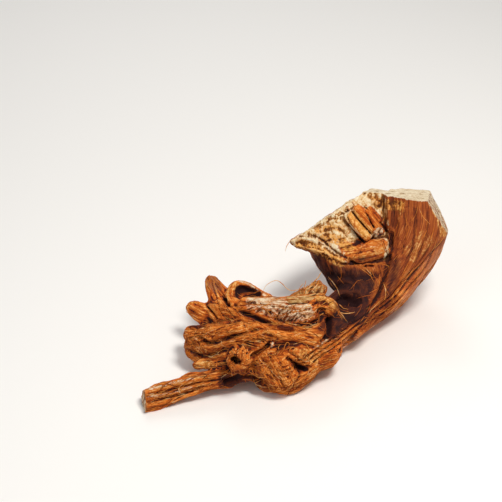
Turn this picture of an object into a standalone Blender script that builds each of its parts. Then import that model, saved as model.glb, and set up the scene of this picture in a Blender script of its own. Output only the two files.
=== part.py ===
# A dried marshmallow root, one gnarled piece: a sawn and broken stump, a crown of torn stem bases
# and a split side root. Run it with: blender --background --python part.py
#
# Places are in millimetres on the bench where the root lies: x to the right, y away from the viewer
# and z up from the bench. BENCH_TO_ORIGIN moves the finished root so that its origin is under the
# middle of its box.

from itertools import product

import bmesh
import bpy
import numpy as np
from mathutils import Matrix, Vector

ROOT = "marshmallow_root"           # the object and its collection
CUTTERS = "cutters"
MM = 0.001                          # the tables' millimetres in Blender's metres
BENCH_TO_ORIGIN = (-0.5, -33.25, 0.0)

VOXEL = 1.0                         # the grain at which the limbs are fused into one skin
SMOOTHING_ROUNDS = 3                # how far the joints between limbs are rounded
SKIN_TRIANGLES = 10500              # the fused and wrinkled skin is thinned to about this many
RING_STEP = 1.5                     # between the rings of a limb
LIMB_SIDES = 28
HOLLOW_SIDES = 12
END_BLUNTNESS = 0.7                 # how far a limb's rounded end reaches, as a share of its half thickness
FURTHEST_SKIN = 9.0                 # a limb has no say in skin further than this from its own
BLEND = 1.2                         # how gradually one limb's wrinkles give way to another's
CUT_ROUGHNESS = 0.35                # of the sawn and sliced faces

# Each limb has stations along its middle (x, y, z, half width, half thickness), the way its flat
# side faces, and its wrinkles as (spacing, height).
BODY = {
    # The thick right half of the stump, which bends at the bench and runs forward into the crown.
    "trunk": dict(
        face=(0.1, -0.8, 0.6),
        wrinkle=(2.6, 0.45),
        stations=[
            (51, 76, 60, 13.5, 11), (51, 69, 48, 13.5, 11.5), (50.5, 62, 36, 13, 12),
            (44.5, 56, 24, 11.5, 12.5), (33, 46.8, 15, 11, 12.3), (16.5, 31, 12.8, 9.6, 12),
            (3.5, 15, 12.6, 8.8, 11.2), (-6, 5.5, 12, 8.8, 11), (-14, 3, 11, 7, 8),
        ],
    ),
    # The thinner left half of the stump, set back from the trunk.
    "shoulder": dict(
        face=(-0.05, -0.85, 0.5),
        wrinkle=(3.0, 0.7),
        stations=[
            (21, 71, 56, 18, 9), (22, 67, 48, 19, 10), (21.5, 60, 38, 19, 11),
            (23, 56, 30, 16.5, 11), (26, 51, 22, 13.5, 11), (27, 42, 16, 10.5, 11),
            (20, 28, 12, 8, 9),
        ],
    ),
    "shoulder_tip": dict(
        face=(0, -0.7, 0.7),
        wrinkle=(3.0, 0.6),
        stations=[(14, 56, 36.5, 8.5, 8.5), (6, 54, 37.2, 6, 6.8), (-1, 51.3, 38.8, 3, 4.4)],
    ),
    # The underside of the bend, on which the stump's weight rests.
    "heel": dict(
        face=(0, -0.8, 0.6),
        wrinkle=(3.0, 0.5),
        stations=[
            (50, 73, 35, 11, 8), (47, 68, 25, 10.5, 9), (42, 63.5, 15, 10, 9), (35, 59, 9.5, 9.5, 9),
            (28, 54, 8, 9, 9), (20, 47, 7.5, 6, 7),
        ],
    ),
    # The swollen crown at the viewer's left, from which the stems once rose.
    "crown": dict(
        face=(-0.1, -0.8, 0.6),
        wrinkle=(4.0, 1.0),
        stations=[
            (10, 14, 12.5, 10, 11), (-3, 11.5, 13, 11, 12), (-15, 11.5, 13, 11, 12.5),
            (-27.5, 13.5, 12, 10, 10.5), (-37, 15.5, 10.5, 8.5, 8), (-43.5, 16.5, 10, 5, 4.8),
        ],
    ),
    "crown_front": dict(
        face=(0, -0.9, 0.5),
        wrinkle=(3.6, 0.9),
        stations=[(5.5, 9.5, 10, 6, 7.6), (-1.5, 5, 8.5, 7.6, 8.6), (-8, 1.4, 7.5, 7.7, 8), (-16, 1, 7.5, 5, 6)],
    ),
    # A fold over the front of the crown, and the torn leaf-like lobes at its left end.
    "fold": dict(
        face=(0, -0.8, 0.6),
        wrinkle=(2.8, 0.7),
        stations=[
            (8, 8, 20, 4, 3.5), (-3, 6.5, 23, 4.5, 3.5), (-14, 7, 23.5, 4.5, 3.5),
            (-26, 10, 21, 4.5, 3.5), (-37, 13, 17, 4, 3), (-44, 16, 14, 3, 2.4),
        ],
    ),
    "lobe_up": dict(
        face=(-0.1, -0.8, 0.6),
        wrinkle=(2.4, 0.4),
        stations=[
            (-25.5, 20, 16, 8.5, 4.5), (-29, 27, 18.5, 6.8, 3.4), (-32.3, 34.5, 21, 5.2, 2.5),
            (-35, 40, 23, 3.9, 2.1), (-36.5, 43.5, 24.3, 2.4, 1.7),
        ],
    ),
    "lobe_left": dict(
        face=(-0.1, -0.7, 0.7),
        wrinkle=(2.4, 0.4),
        stations=[
            (-26, 19, 14, 5, 4), (-33, 26.5, 15, 5, 2.6), (-39, 31, 15.3, 4.8, 2.1),
            (-43.5, 34.5, 15.5, 3.4, 1.8), (-45.5, 36, 15.5, 2, 1.5),
        ],
    ),
    "lobe_low": dict(
        face=(-0.1, -0.7, 0.7),
        wrinkle=(2.4, 0.4),
        stations=[(-29, 18, 11, 6, 5), (-38, 21, 11, 5.2, 4.4), (-45, 23.5, 11, 3.2, 3)],
    ),
    "lobe_base": dict(
        face=(0, -0.8, 0.6),
        wrinkle=(2.4, 0.6),
        stations=[
            (-35, 31, 18, 4, 2.6), (-31.3, 26.2, 19.5, 5.5, 3.2), (-26, 22.5, 20.5, 5.8, 3.6),
            (-20, 17.5, 21.5, 5, 3.6), (-12, 13, 22, 4, 3.2),
        ],
    ),
    # The rolled stem base that lies across the top of the crown, with a knob at its right end.
    "scroll": dict(
        face=(0, -0.5, 0.85),
        wrinkle=(2.6, 0.9),
        stations=[
            (-23, 23.5, 25, 3.4, 3.4), (-15, 21, 26, 4.2, 4.2), (-6.5, 19, 26.5, 5.2, 5.2),
            (1.5, 19, 26.5, 5.6, 5.4), (8.5, 24, 25.5, 4.4, 4.6),
        ],
    ),
    "scroll_knob": dict(
        face=(0, -0.8, 0.6),
        wrinkle=(2.4, 0.4),
        stations=[(6, 23, 24.5, 4, 4), (11, 22.5, 25, 4.6, 4.6), (12.5, 22, 21.5, 3.8, 3.8)],
    ),
    "scroll_back": dict(
        face=(0, -0.5, 0.85),
        wrinkle=(3.0, 0.8),
        stations=[(-4, 24, 24, 4, 4), (4, 28, 26, 4.5, 3.5), (9, 33, 28, 3, 2.2)],
    ),
    # The rim of the hollow stem at the scroll's left end, and the floor of its hollow.
    "stem_rim": dict(
        face=(0.3, -0.6, 0.75),
        wrinkle=(2.0, 0.25),
        stations=[
            (-17, 21, 24.5, 2.4, 2.2), (-23.5, 24.5, 24, 2.4, 2.1), (-27.3, 29, 24, 2.3, 1.9),
            (-27.8, 33, 25.6, 2.2, 1.8), (-25.8, 35.3, 27.2, 2, 1.7), (-22.8, 35.4, 27.9, 1.9, 1.6),
            (-19.8, 33.8, 27.6, 1.9, 1.6), (-16.8, 31, 26.8, 1.9, 1.6), (-13.4, 28, 25.8, 2, 1.8),
        ],
    ),
    "stem_wall": dict(
        face=(0.2, -0.8, 0.4),
        wrinkle=(2.0, 0.25),
        stations=[
            (-27.8, 32, 22.4, 4, 1.8), (-25.2, 34.8, 23.2, 4.4, 1.8), (-21, 34.8, 23.2, 4.6, 1.8),
            (-16.8, 31.6, 22.8, 4.4, 1.8), (-12.4, 28.4, 22.8, 3.6, 1.8),
        ],
    ),
    "stem_floor": dict(
        face=(0, -0.5, 0.85),
        wrinkle=(2.4, 0.4),
        stations=[(-28, 28, 19, 5, 4), (-21, 30, 20, 6, 4.5), (-12, 28, 20, 6, 4.5)],
    ),
    # A second, shorter hollow stem that points at the viewer.
    "stem_stub": dict(
        face=(0.8, -0.5, 0.4),
        wrinkle=(1.6, 0.25),
        stations=[(-22.5, 9, 14.5, 4.6, 4.6), (-24, 0, 17.2, 4.4, 5), (-24.5, -3.5, 18.4, 3.8, 4.7)],
    ),
    "stub_tongue": dict(
        face=(0, -0.9, 0.4),
        wrinkle=(1.8, 0.25),
        stations=[(-25, -1.5, 15, 3.2, 2.8), (-24, -2, 10.5, 2.8, 2.6), (-21, 0, 7, 2.4, 2.2)],
    ),
    # The split side root that runs forward to the left.
    "side_root": dict(
        face=(-0.2, -0.6, 0.8),
        wrinkle=(2.7, 0.9),
        stations=[
            (-14, 4, 9.5, 5, 5), (-24, 1.5, 8, 4.6, 4.2), (-34, -1, 6.6, 4.1, 3.6),
            (-44, -3.5, 5.4, 4.1, 3.4), (-54, -7, 3.9, 4.3, 3.4), (-66, -11, 2.8, 4.4, 3.4),
        ],
    ),
    "flake": dict(
        face=(0, -0.4, 0.9),
        wrinkle=(2.0, 0.25),
        stations=[
            (-24, 4, 9.5, 3.6, 2.8), (-31, 4.5, 10, 3.2, 2.2), (-37, 5.5, 10, 2.6, 1.9),
            (-42, 4.5, 9.4, 1.6, 1.5),
        ],
    ),
}

# Strands like the lay of a rope edge the trunk's outer side. They fan out from one corner of the saw cut.
ROPE_LINE = [
    (61, 62, 33), (59.5, 58, 28), (55, 53.2, 22), (49.5, 49.8, 16.5), (44.3, 45.3, 12),
    (37, 39.5, 8.8), (26.5, 31.5, 6.4), (16.2, 20.4, 6), (5.2, 9.8, 5.6), (-4.2, 2.8, 5.8),
]
ROPE_STRANDS = 4
ROPE_SPREAD = Vector((-1.3, 0.1, 1.45))     # from one strand to the next
ROPE_FANNED = 2                             # the station at which the strands are fully spread
ROPE_THICKNESS = 1.7                        # half
ROPE_WRINKLE = (1.6, 0.25)

# Pieces that stand on the break or beside it and were never cut with it.
SPLINTERS = {
    "long_splinter": dict(
        face=(0, -0.6, 0.8),
        wrinkle=(1.8, 0.25),
        stations=[(21.3, 59, 46.2, 2.6, 2), (25, 56, 43.3, 2.9, 2), (29, 52.6, 39.2, 2.2, 1.8)],
    ),
    "upper_splinter": dict(
        face=(0, -0.6, 0.8),
        wrinkle=(1.8, 0.25),
        stations=[(24.5, 60, 48.5, 2, 2), (28, 57.5, 46, 3, 2.2), (32, 54.5, 42, 3, 2.4)],
    ),
    "chunk": dict(
        face=(0, -0.8, 0.6),
        wrinkle=(2.2, 0.4),
        stations=[(14.5, 49, 31, 2, 2), (20, 49, 32, 3.4, 2.8), (28, 50, 33, 4, 3.2), (37, 52, 35, 3.4, 3)],
    ),
}

# The eye from which the folds below are laid out, and the point that it looks at.
EYE = Vector((-20, -429, 369))
LOOKED_AT = Vector((-20, 30, 48))

# Folds, as the eye sees them: the limbs that they lie on, the route of the crest or the bottom
# (across to the right and up, from the point looked at), the height (less than none for a crease),
# and the widths on the two sides of the route, the one on the left of its direction first.
FOLDS = [
    # The groove between the stump's two halves, and the seams of the trunk's front.
    (("trunk", "shoulder"),
     [(56.5, 8), (56, 2), (55, -5), (53.5, -12), (51, -19), (47, -24)], -1.8, 1.5, 1.5),
    (("trunk",), [(61, 18), (60, 4.5), (59, -8.5), (55, -19.5)], 0.5, 1.6, 1.6),
    (("trunk",), [(66, 18), (66, 9), (64.5, 0.5), (61, -9.5)], -0.5, 1.2, 1.2),
    (("trunk",), [(71, 16.5), (71, 8.5), (69, 2), (65, -7), (57.5, -16.5)], -0.5, 1.2, 1.2),
    (("trunk", "rope"), [(77, 4), (71, -3.5), (61, -14), (51, -24), (40, -36), (31, -45)], -1.4, 1.4, 1.2),
    # The hollow under the stump's broken rim.
    (("trunk", "shoulder"), [(30, -9.5), (39.5, -11), (48, -10.5), (53, -9)], -2.0, 1.8, 1.8),
    (("trunk", "shoulder"), [(35, -18), (42, -21), (48.5, -19.5)], -1.8, 2, 2),
    (("trunk", "shoulder"), [(41.5, -29), (38, -25), (36.5, -19)], -2.6, 2.6, 2.6),
    # The crevice under the scroll, and the notch at its right end.
    (("crown", "fold", "scroll", "trunk"),
     [(-4, -24.8), (2, -26.8), (8, -28.8), (13, -30.6), (18, -31)], -3.8, 1.2, 2.4),
    (("crown", "fold", "scroll", "trunk"), [(17, -31), (22, -30.4), (27, -28)], -1.4, 1.2, 1.8),
    (("crown", "trunk", "scroll"),
     [(31, -26.5), (32, -30), (31.2, -33.5), (28, -37)], -3.6, 2, 2),
    # The hook of the knob, then the creases between and under the lobes.
    (("scroll",), [(23.5, -21), (28, -19.2), (32, -20.6), (33.6, -23.6), (32.4, -26.4)], 1.3, 1.3, 1.5),
    (("crown", "lobe", "stem"), [(-10.5, -18.5), (-9.5, -21), (-8, -22.5)], -2.2, 1.3, 1.3),
    (("crown", "lobe"), [(-18, -22), (-15, -25), (-12, -28.5)], -2.2, 1.3, 1.3),
    (("crown", "lobe"), [(-27, -29), (-22.5, -30.5), (-17, -31)], -3, 1.6, 1.6),
    # Folds and creases over the front of the crown.
    (("crown", "fold"),
     [(-23, -31.5), (-15, -31), (-7.5, -28.5), (-1.5, -29.5), (6, -31.5), (13.5, -34.5), (20.5, -36)],
     0.8, 3, 1.4),
    (("crown", "fold"),
     [(-22, -33.5), (-17, -36.5), (-13, -36.2), (-8.5, -34.6), (-3.5, -33), (2, -31), (6, -30.6), (11, -32)],
     -1.8, 1.2, 1.6),
    (("crown", "fold"),
     [(-20, -38.8), (-14, -38.6), (-10, -37.4), (-5, -35.6), (2.5, -33.3), (8, -32.4), (14, -34.5)],
     1.3, 1.2, 3.2),
    (("crown", "fold", "stem"),
     [(0, -43), (3, -41), (6, -39), (8.5, -37)], -2.3, 1.6, 1.2),
    (("crown",), [(-26, -39.5), (-19, -42.5), (-13, -41), (-9, -38.5)], -1.8, 1.6, 1.6),
    (("crown", "trunk"), [(0.6, -44.2), (4.6, -42), (8.1, -39.9), (11, -39.5)], 1.2, 0.8, 2.6),
    (("crown", "trunk"), [(12.5, -41), (16.5, -43.2), (19.5, -45.8), (22.5, -47)], -2.4, 1.2, 1.8),
    (("crown", "trunk"), [(16.5, -40.2), (18.7, -42), (21.7, -44.3), (24.8, -46)], 1.3, 3.4, 0.7),
    (("crown", "trunk"), [(20, -47.5), (20, -50), (18, -53.5), (17, -56)], -1.1, 0.9, 0.9),
    (("crown",), [(-1, -49.6), (4.6, -53.1), (8.6, -56.6)], -1.4, 1.2, 1.6),
    # The split ridges of the side root.
    (("side",), [(-41, -56), (-32.5, -53.5), (-21.5, -51), (-11.5, -49)], 1.0, 1.3, 1.3),
    (("side",), [(-41, -57.5), (-32.5, -55.5), (-21.5, -53), (-10.5, -51)], -1.3, 1.1, 1.1),
    (("side",), [(-42, -59), (-32.5, -57), (-22.5, -54.5), (-14.5, -53)], 1.0, 1.2, 1.2),
    (("side",), [(-41.5, -61), (-34.5, -59.5), (-26.5, -57.5), (-18.5, -55)], -1.2, 1.1, 1.1),
    # The dark cavity where the side root leaves the crown.
    (("crown", "side", "stub"), [(-11, -53), (-5, -51.5), (-0.5, -52), (5, -54.5)], -4, 3, 3),
]

# The broken face of the stump's left half: a point on it, the way it faces, and how rough it is.
BREAK_AT = Vector((20, 54, 39))
BREAK_FACES = Vector((0.13, -0.73, 0.67)).normalized()
BREAK_EDGE = 38.0                   # x of its right side, at the groove
BREAK_REACH = dict(right=BREAK_EDGE - BREAK_AT.x, down=13, thick=25)
BREAK_ROUGHNESS = 1.6
BREAK_LUMPS = (7, 3.5, 5)           # the size of its larger lumps, across the face, up it and through it
BREAK_CHIPS = (3, 2, 3)

# The slope behind the broken face.
BACK_BREAK = dict(at=(10, 56.5, 45), faces=(-0.555, 0.5, 0.665), left=22)

# The hollows in the two stems, and the deep places beside the side root and the knob.
HOLLOWS = {
    "stem_hollow": dict(
        face=(0, -1, 0.4),
        stations=[(-19.8, 29.6, 33, 5, 3.3), (-19.8, 29.6, 27, 4.8, 3.2), (-19.4, 29.2, 23.4, 3.4, 2.4)],
    ),
    "stub_hollow": dict(
        face=(1, 0, 0),
        stations=[(-25.6, -12, 22.6, 2, 2.5), (-25.4, -3, 19, 1.8, 2.3), (-24.6, 2, 17, 1.2, 1.4)],
    ),
    "side_root_cavity": dict(
        face=(1, 0, 0),
        stations=[(-21, -12, 2.5, 3.2, 7), (-21, -4, 3.5, 3.2, 6.5), (-20.5, 1.5, 4.5, 2, 4.5)],
    ),
    "knob_bay": dict(
        face=(0, -1, 0.3),
        stations=[(21, 34, 36, 7, 5), (20.5, 32, 28, 7, 4.6), (19.5, 29.5, 20, 5, 3.4)],
    ),
}

# The sawn and sliced faces, and the level of the bench.
CUTS = {
    "saw_cut": dict(at=(50, 66, 50.5), faces=(0.08, 0.35, 0.93), roughness=CUT_ROUGHNESS),
    "side_cut": dict(at=(58.4, 58.7, 45.2), faces=(0.845, 0.05, 0.53), roughness=CUT_ROUGHNESS),
    "side_root_cut": dict(
        at=(-61.5, -10, 4), faces=(-0.95, -0.25, 0.15),
        left=20, right=20, down=20, up=20, roughness=CUT_ROUGHNESS,
    ),
    "bench": dict(at=(0, 40, 0), faces=(0, 0, -1), left=150, right=150, down=150, up=150, squares=2),
}


def clear_scene():
    for obj in list(bpy.data.objects):
        bpy.data.objects.remove(obj, do_unlink=True)


def through(points, step):
    """A smooth line (Catmull-Rom) through rows that begin with a place, with a row about every step."""
    rows = np.array(points, float)
    rows = np.vstack([2 * rows[0] - rows[1], rows, 2 * rows[-1] - rows[-2]])
    line = []
    for a, b, c, d in zip(rows, rows[1:], rows[2:], rows[3:]):
        for t in np.linspace(0, 1, max(2, round(np.linalg.norm(c[:3] - b[:3]) / step)), endpoint=False):
            bend = (2 * a - 5 * b + 4 * c - d) * t**2 + (3 * b - a - 3 * c + d) * t**3
            line.append(0.5 * (2 * b + (c - a) * t + bend))
    line.append(rows[-2])
    return np.array(line)


def unit(rows):
    return rows / np.linalg.norm(rows, axis=-1, keepdims=True)


def rise(value, low, high):
    """From 0 at low to 1 at high, in a smooth S."""
    t = np.clip((value - low) / (high - low), 0, 1)
    return t * t * (3 - 2 * t)


def swells(points, seed):
    """Smooth noise between about -1 and 1, with about one swell to each unit."""
    cell = np.floor(points).astype(np.int64)
    inside = points - cell
    fade = inside**3 * (inside * (inside * 6 - 15) + 10)
    total = np.zeros(len(points))
    for corner in product((0, 1), repeat=3):
        at = cell + corner
        mixed = at[:, 0] * 374761393 + at[:, 1] * 668265263 + at[:, 2] * 1440662683 + seed * 974634777
        mixed = (mixed ^ (mixed >> 13)) * 1274126177 & 0xFFFFFFFF
        slope = ((mixed[:, None] >> np.array([4, 12, 20])) & 255) / 127.5 - 1
        weight = np.where(corner, fade, 1 - fade).prod(axis=1)
        total += weight * (slope * (inside - corner)).sum(axis=1)
    return 1.3 * total


class Limb:
    """A limb's middle line, with its directions at each ring: along, across (its width) and out."""

    def __init__(self, name, stations, face, wrinkle):
        self.name = name
        self.wrinkle = wrinkle
        self.seed = 10 * sum(name.encode())
        rows = through(stations, RING_STEP)
        self.middle = rows[:, :3]
        self.half = rows[:, 3:]
        self.run = np.concatenate([[0], np.cumsum(np.linalg.norm(np.diff(self.middle, axis=0), axis=1))])
        self.along = unit(np.gradient(self.middle, axis=0))
        flat = np.array(face, float)
        self.out = unit(flat - (self.along @ flat)[:, None] * self.along)
        self.across = np.cross(self.along, self.out)

    def rings(self, sides):
        """The rings of points round the limb, with three smaller ones that round off each end."""
        turn = np.linspace(0, 2 * np.pi, sides, endpoint=False)
        last = len(self.middle) - 1
        steps = [(0, -angle) for angle in (80, 55, 28)] + [(i, 0) for i in range(last + 1)]
        steps += [(last, angle) for angle in (28, 55, 80)]
        rings = []
        for i, angle in steps:
            wide, thick = self.half[i] * np.cos(np.radians(angle))
            reach = np.sin(np.radians(angle)) * self.half[i].min() * END_BLUNTNESS
            centre = self.middle[i] + self.along[i] * reach
            sideways = np.outer(np.cos(turn) * wide, self.across[i])
            rings.append(centre + sideways + np.outer(np.sin(turn) * thick, self.out[i]))
        return rings

    def straightened(self, points):
        """How far points are from the skin, and their places if the limb were straight."""
        margin = self.half.max() + FURTHEST_SKIN
        near = ((points > self.middle.min(0) - margin) & (points < self.middle.max(0) + margin)).all(axis=1)
        gaps = np.linalg.norm(points[near][:, None] - self.middle[None], axis=2)
        ring = gaps.argmin(axis=1)
        off = points[near] - self.middle[ring]
        axes = (self.along, self.across, self.out)
        along, across, out = [(off * axis[ring]).sum(axis=1) for axis in axes]
        half = self.half[ring]
        outside = np.abs(np.hypot(across / half[:, 0], out / half[:, 1]) - 1) * half.min(axis=1)
        distance = np.full(len(points), np.inf)
        distance[near] = outside + np.maximum(np.abs(along) - RING_STEP, 0)
        places = np.zeros((len(points), 3))
        places[near] = np.stack([self.run[ring] + along, across, out], axis=1)
        return distance, places


def rope_limbs():
    """The strands of the rope, each rising and sinking a little along its run."""
    limbs = []
    for strand in range(ROPE_STRANDS):
        stations = []
        for i, place in enumerate(ROPE_LINE):
            sway = Vector((0.1, -0.35, 0.35)) * np.sin(1.9 * i + 2.2 * strand)
            fan = min(1, i / ROPE_FANNED)
            x, y, z = Vector(place) + fan * (ROPE_SPREAD * strand + sway)
            stations.append((x, y, z, ROPE_THICKNESS, ROPE_THICKNESS))
        limbs.append(Limb(f"rope_{strand + 1}", stations, (0.3, -0.8, 0.5), ROPE_WRINKLE))
    return limbs


def new_collection(name):
    collection = bpy.data.collections.new(name)
    bpy.context.scene.collection.children.link(collection)
    return collection


def new_object(name, shape, collection):
    """An object from bmesh data in millimetres, with its faces pointing out."""
    bmesh.ops.recalc_face_normals(shape, faces=shape.faces)
    shape.transform(Matrix.Scale(MM, 4))
    mesh = bpy.data.meshes.new(name)
    shape.to_mesh(mesh)
    shape.free()
    obj = bpy.data.objects.new(name, mesh)
    bpy.data.collections[collection].objects.link(obj)
    return obj


def loft(shape, rings):
    """Adds the closed skin over a row of rings."""
    rings = [[shape.verts.new(point) for point in ring] for ring in rings]
    for ring, following in zip(rings, rings[1:]):
        for side in range(len(ring)):
            shape.faces.new((ring[side - 1], ring[side], following[side], following[side - 1]))
    shape.faces.new(rings[0])
    shape.faces.new(reversed(rings[-1]))


def lofts(name, limbs, sides=LIMB_SIDES, collection=ROOT):
    shape = bmesh.new()
    for limb in limbs:
        loft(shape, limb.rings(sides))
    return new_object(name, shape, collection)


def apply_modifiers(obj):
    graph = bpy.context.evaluated_depsgraph_get()
    mesh = bpy.data.meshes.new_from_object(obj.evaluated_get(graph))
    obj.modifiers.clear()
    obj.data = mesh


def fuse(obj):
    """Makes the bodies in one object one skin with even faces, its joints a little rounded."""
    remesh = obj.modifiers.new("fuse", "REMESH")
    remesh.mode = "VOXEL"
    remesh.voxel_size = VOXEL * MM
    rounded = obj.modifiers.new("round joints", "SMOOTH")
    rounded.iterations = SMOOTHING_ROUNDS
    apply_modifiers(obj)


def boolean(obj, other, operation="DIFFERENCE"):
    other.hide_render = True
    other.display_type = "WIRE"
    modifier = obj.modifiers.new(other.name, "BOOLEAN")
    modifier.operation = operation
    modifier.object = other
    modifier.solver = "MANIFOLD"
    apply_modifiers(obj)
    bpy.data.objects.remove(other)


def join(obj, other):
    """Adds the other object's bodies to the object's mesh, to be fused with it."""
    shape = bmesh.new()
    shape.from_mesh(obj.data)
    shape.from_mesh(other.data)
    shape.to_mesh(obj.data)
    shape.free()
    bpy.data.objects.remove(other)


def slab(name, at, faces, left=60, right=60, down=60, up=60, thick=60, roughness=0.0, squares=30):
    """A cutter that clears what lies above a plane, up to its thickness. The point "at" is on the plane,
    "faces" is the way it faces, and the four reaches are measured along it from the point."""
    shape = bmesh.new()
    bmesh.ops.create_grid(shape, x_segments=squares, y_segments=squares, size=0.5)
    flat = np.array([v.co for v in shape.verts]) + (0.5, 0.5, 0)
    flat = flat * (left + right, down + up, 0) - (left, down, 0)
    unevenness = roughness * (swells(flat / 4, 3) + 0.6 * swells(flat / 1.7, 4))
    for v, place, height in zip(shape.verts, flat, unevenness):
        v.co = (place[0], place[1], height)
    raised = bmesh.ops.extrude_face_region(shape, geom=shape.faces[:])
    for v in [g for g in raised["geom"] if isinstance(g, bmesh.types.BMVert)]:
        v.co.z = thick
    shape.transform(Matrix.Translation(at) @ plane_axes(faces))
    return new_object(name, shape, CUTTERS)


def plane_axes(faces):
    """Turns x to the right along a plane, y up along it and z the way that the plane faces."""
    z = Vector(faces).normalized()
    x = Vector((0, 1, 0)).cross(z) if abs(z.y) < 0.6 else Vector((0, 0, 1)).cross(z)
    x.normalize()
    return Matrix((x, z.cross(x), z)).transposed().to_4x4()


def hollow(name, stations, face):
    return lofts(name, [Limb(name, stations, face, None)], HOLLOW_SIDES, CUTTERS)


def mesh_rows(mesh, what):
    rows = np.empty(len(mesh.vertices) * 3)
    mesh.vertices.foreach_get(what, rows)
    return rows.reshape(-1, 3)


def seen(points):
    """Where the eye sees points: across and up, in millimetres at the distance of the point looked at."""
    forward = (LOOKED_AT - EYE).normalized()
    right = forward.cross(Vector((0, 0, 1))).normalized()
    up = right.cross(forward)
    off = points - np.array(EYE)
    scale = (LOOKED_AT - EYE).length / (off @ np.array(forward))
    return np.stack([off @ np.array(right) * scale, off @ np.array(up) * scale], axis=1)


def fold_height(view, route, height, left, right):
    """The height of one fold at each place in the eye's view. It runs out to nothing at its ends."""
    line = through(route, 1.0)
    gaps = np.linalg.norm(view[:, None] - line[None], axis=2)
    nearest = gaps.argmin(axis=1)
    along = unit(np.gradient(line, axis=0))[nearest]
    off = view - line[nearest]
    side = along[:, 0] * off[:, 1] - along[:, 1] * off[:, 0]
    width = np.where(side > 0, left, right)
    distance = gaps.min(axis=1) / width
    place = nearest / (len(line) - 1)
    ends = rise(place, -0.05, 0.12) * rise(1 - place, -0.05, 0.12)
    return height * ends * (1 - rise(distance, 0, 1))


def wrinkle_height(places, spacing, height, seed):
    """Rounded ridges with sharp furrows between them, long along the limb and narrow across it."""
    run, sides = places[:, :1], places[:, 1:]
    sway = 0.8 * swells(np.hstack([run / 17, sides / 14]), seed)[:, None]
    coarse = np.abs(swells(np.hstack([run / 24, sides / spacing * 0.55 + sway]), seed + 1))
    fine = np.abs(swells(np.hstack([run / 12, sides / spacing * 1.2 + sway]), seed + 2))
    lumps = swells(np.hstack([run / 13, sides / 10]), seed + 3)
    return height * (2.4 * coarse + 1.2 * fine - 0.9 + 0.8 * lumps)


def wrinkle(root, limbs):
    """Raises the skin into the wrinkles of the limbs, the folds and the roughness of the break."""
    points, normals = mesh_rows(root.data, "co") / MM, mesh_rows(root.data, "normal")
    distances, places = zip(*[limb.straightened(points) for limb in limbs])
    distances = np.array(distances)
    share = np.exp(np.minimum(distances.min(axis=0) - distances, 0) / BLEND)
    share /= share.sum(axis=0)

    from_break = (points - np.array(BREAK_AT)) @ np.array(BREAK_FACES)
    facing_break = rise(normals @ np.array(BREAK_FACES), 0.75, 0.92)
    broken = facing_break * (1 - rise(np.abs(from_break), 1.5, 3.5)) * (points[:, 0] < BREAK_EDGE)
    on_break = plane_axes(BREAK_FACES).to_3x3().inverted()
    flat = (points - np.array(BREAK_AT)) @ np.array(on_break).T

    height = np.zeros(len(points))
    for k, limb in enumerate(limbs):
        on = share[k] > 0.03
        height[on] += share[k][on] * wrinkle_height(places[k][on], *limb.wrinkle, limb.seed)
    rough = swells(flat / BREAK_LUMPS, 501) + 0.7 * np.abs(swells(flat / BREAK_CHIPS, 502))
    height = height * (1 - broken) + broken * BREAK_ROUGHNESS * rough

    view = seen(points)
    to_eye = unit(np.array(EYE) - points)
    facing = rise((normals * to_eye).sum(axis=1), 0.0, 0.3)
    for names, route, fold, left, right in FOLDS:
        on = sum(share[k] for k, limb in enumerate(limbs) if limb.name.startswith(names))
        height += facing * on * fold_height(view, route, fold, left, right)

    points += normals * height[:, None]
    root.data.vertices.foreach_set("co", (points * MM).ravel())
    root.data.update()


def thin(root, triangles):
    fewer = root.modifiers.new("fewer faces", "DECIMATE")
    fewer.use_collapse_triangulate = True
    fewer.ratio = triangles / (2 * len(root.data.polygons))
    apply_modifiers(root)


def keep_largest_body(root):
    """Drops any scrap that a cut left loose."""
    shape = bmesh.new()
    shape.from_mesh(root.data)
    unseen = set(shape.verts)
    bodies = []
    while unseen:
        body, edge = set(), [unseen.pop()]
        while edge:
            v = edge.pop()
            body.add(v)
            near = {e.other_vert(v) for e in v.link_edges} & unseen
            unseen -= near
            edge.extend(near)
        bodies.append(body)
    largest = max(bodies, key=len)
    bmesh.ops.delete(shape, geom=[v for v in shape.verts if v not in largest], context="VERTS")
    shape.to_mesh(root.data)
    shape.free()


def bark():
    material = bpy.data.materials.new("dried bark")
    material.use_nodes = True
    finish = material.node_tree.nodes["Principled BSDF"].inputs
    finish["Base Color"].default_value = (0.30, 0.09, 0.025, 1)
    finish["Roughness"].default_value = 0.8
    finish["Metallic"].default_value = 0.0
    return material


def build():
    clear_scene()
    new_collection(ROOT)
    new_collection(CUTTERS)
    body = [Limb(name, **data) for name, data in BODY.items()] + rope_limbs()
    splinters = [Limb(name, **data) for name, data in SPLINTERS.items()]
    root = lofts(ROOT, body)
    fuse(root)
    boolean(root, slab("break", BREAK_AT, BREAK_FACES, **BREAK_REACH))
    boolean(root, slab("back_break", **BACK_BREAK))
    for name, data in HOLLOWS.items():
        boolean(root, hollow(name, **data))
    join(root, lofts("splinters", splinters))
    fuse(root)
    wrinkle(root, body + splinters)
    thin(root, SKIN_TRIANGLES)
    for name, data in CUTS.items():
        boolean(root, slab(name, **data))
    keep_largest_body(root)
    root.data.transform(Matrix.Translation(Vector(BENCH_TO_ORIGIN) * MM))
    root.data.materials.clear()
    root.data.materials.append(bark())
    return root


build()
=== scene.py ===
# A dried marshmallow root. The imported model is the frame; this script gives the root its fine skin, its
# peeling fibres and its hairs, and sets the camera, the floor and the lights.
#
# Tables are in millimetres on the bench where the root lies: x to the right, y away from the viewer and z up.
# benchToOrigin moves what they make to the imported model's place.

import math
from itertools import product

import bmesh
import bpy
import numpy as np
from mathutils import Matrix, Vector
from mathutils.bvhtree import BVHTree


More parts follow.
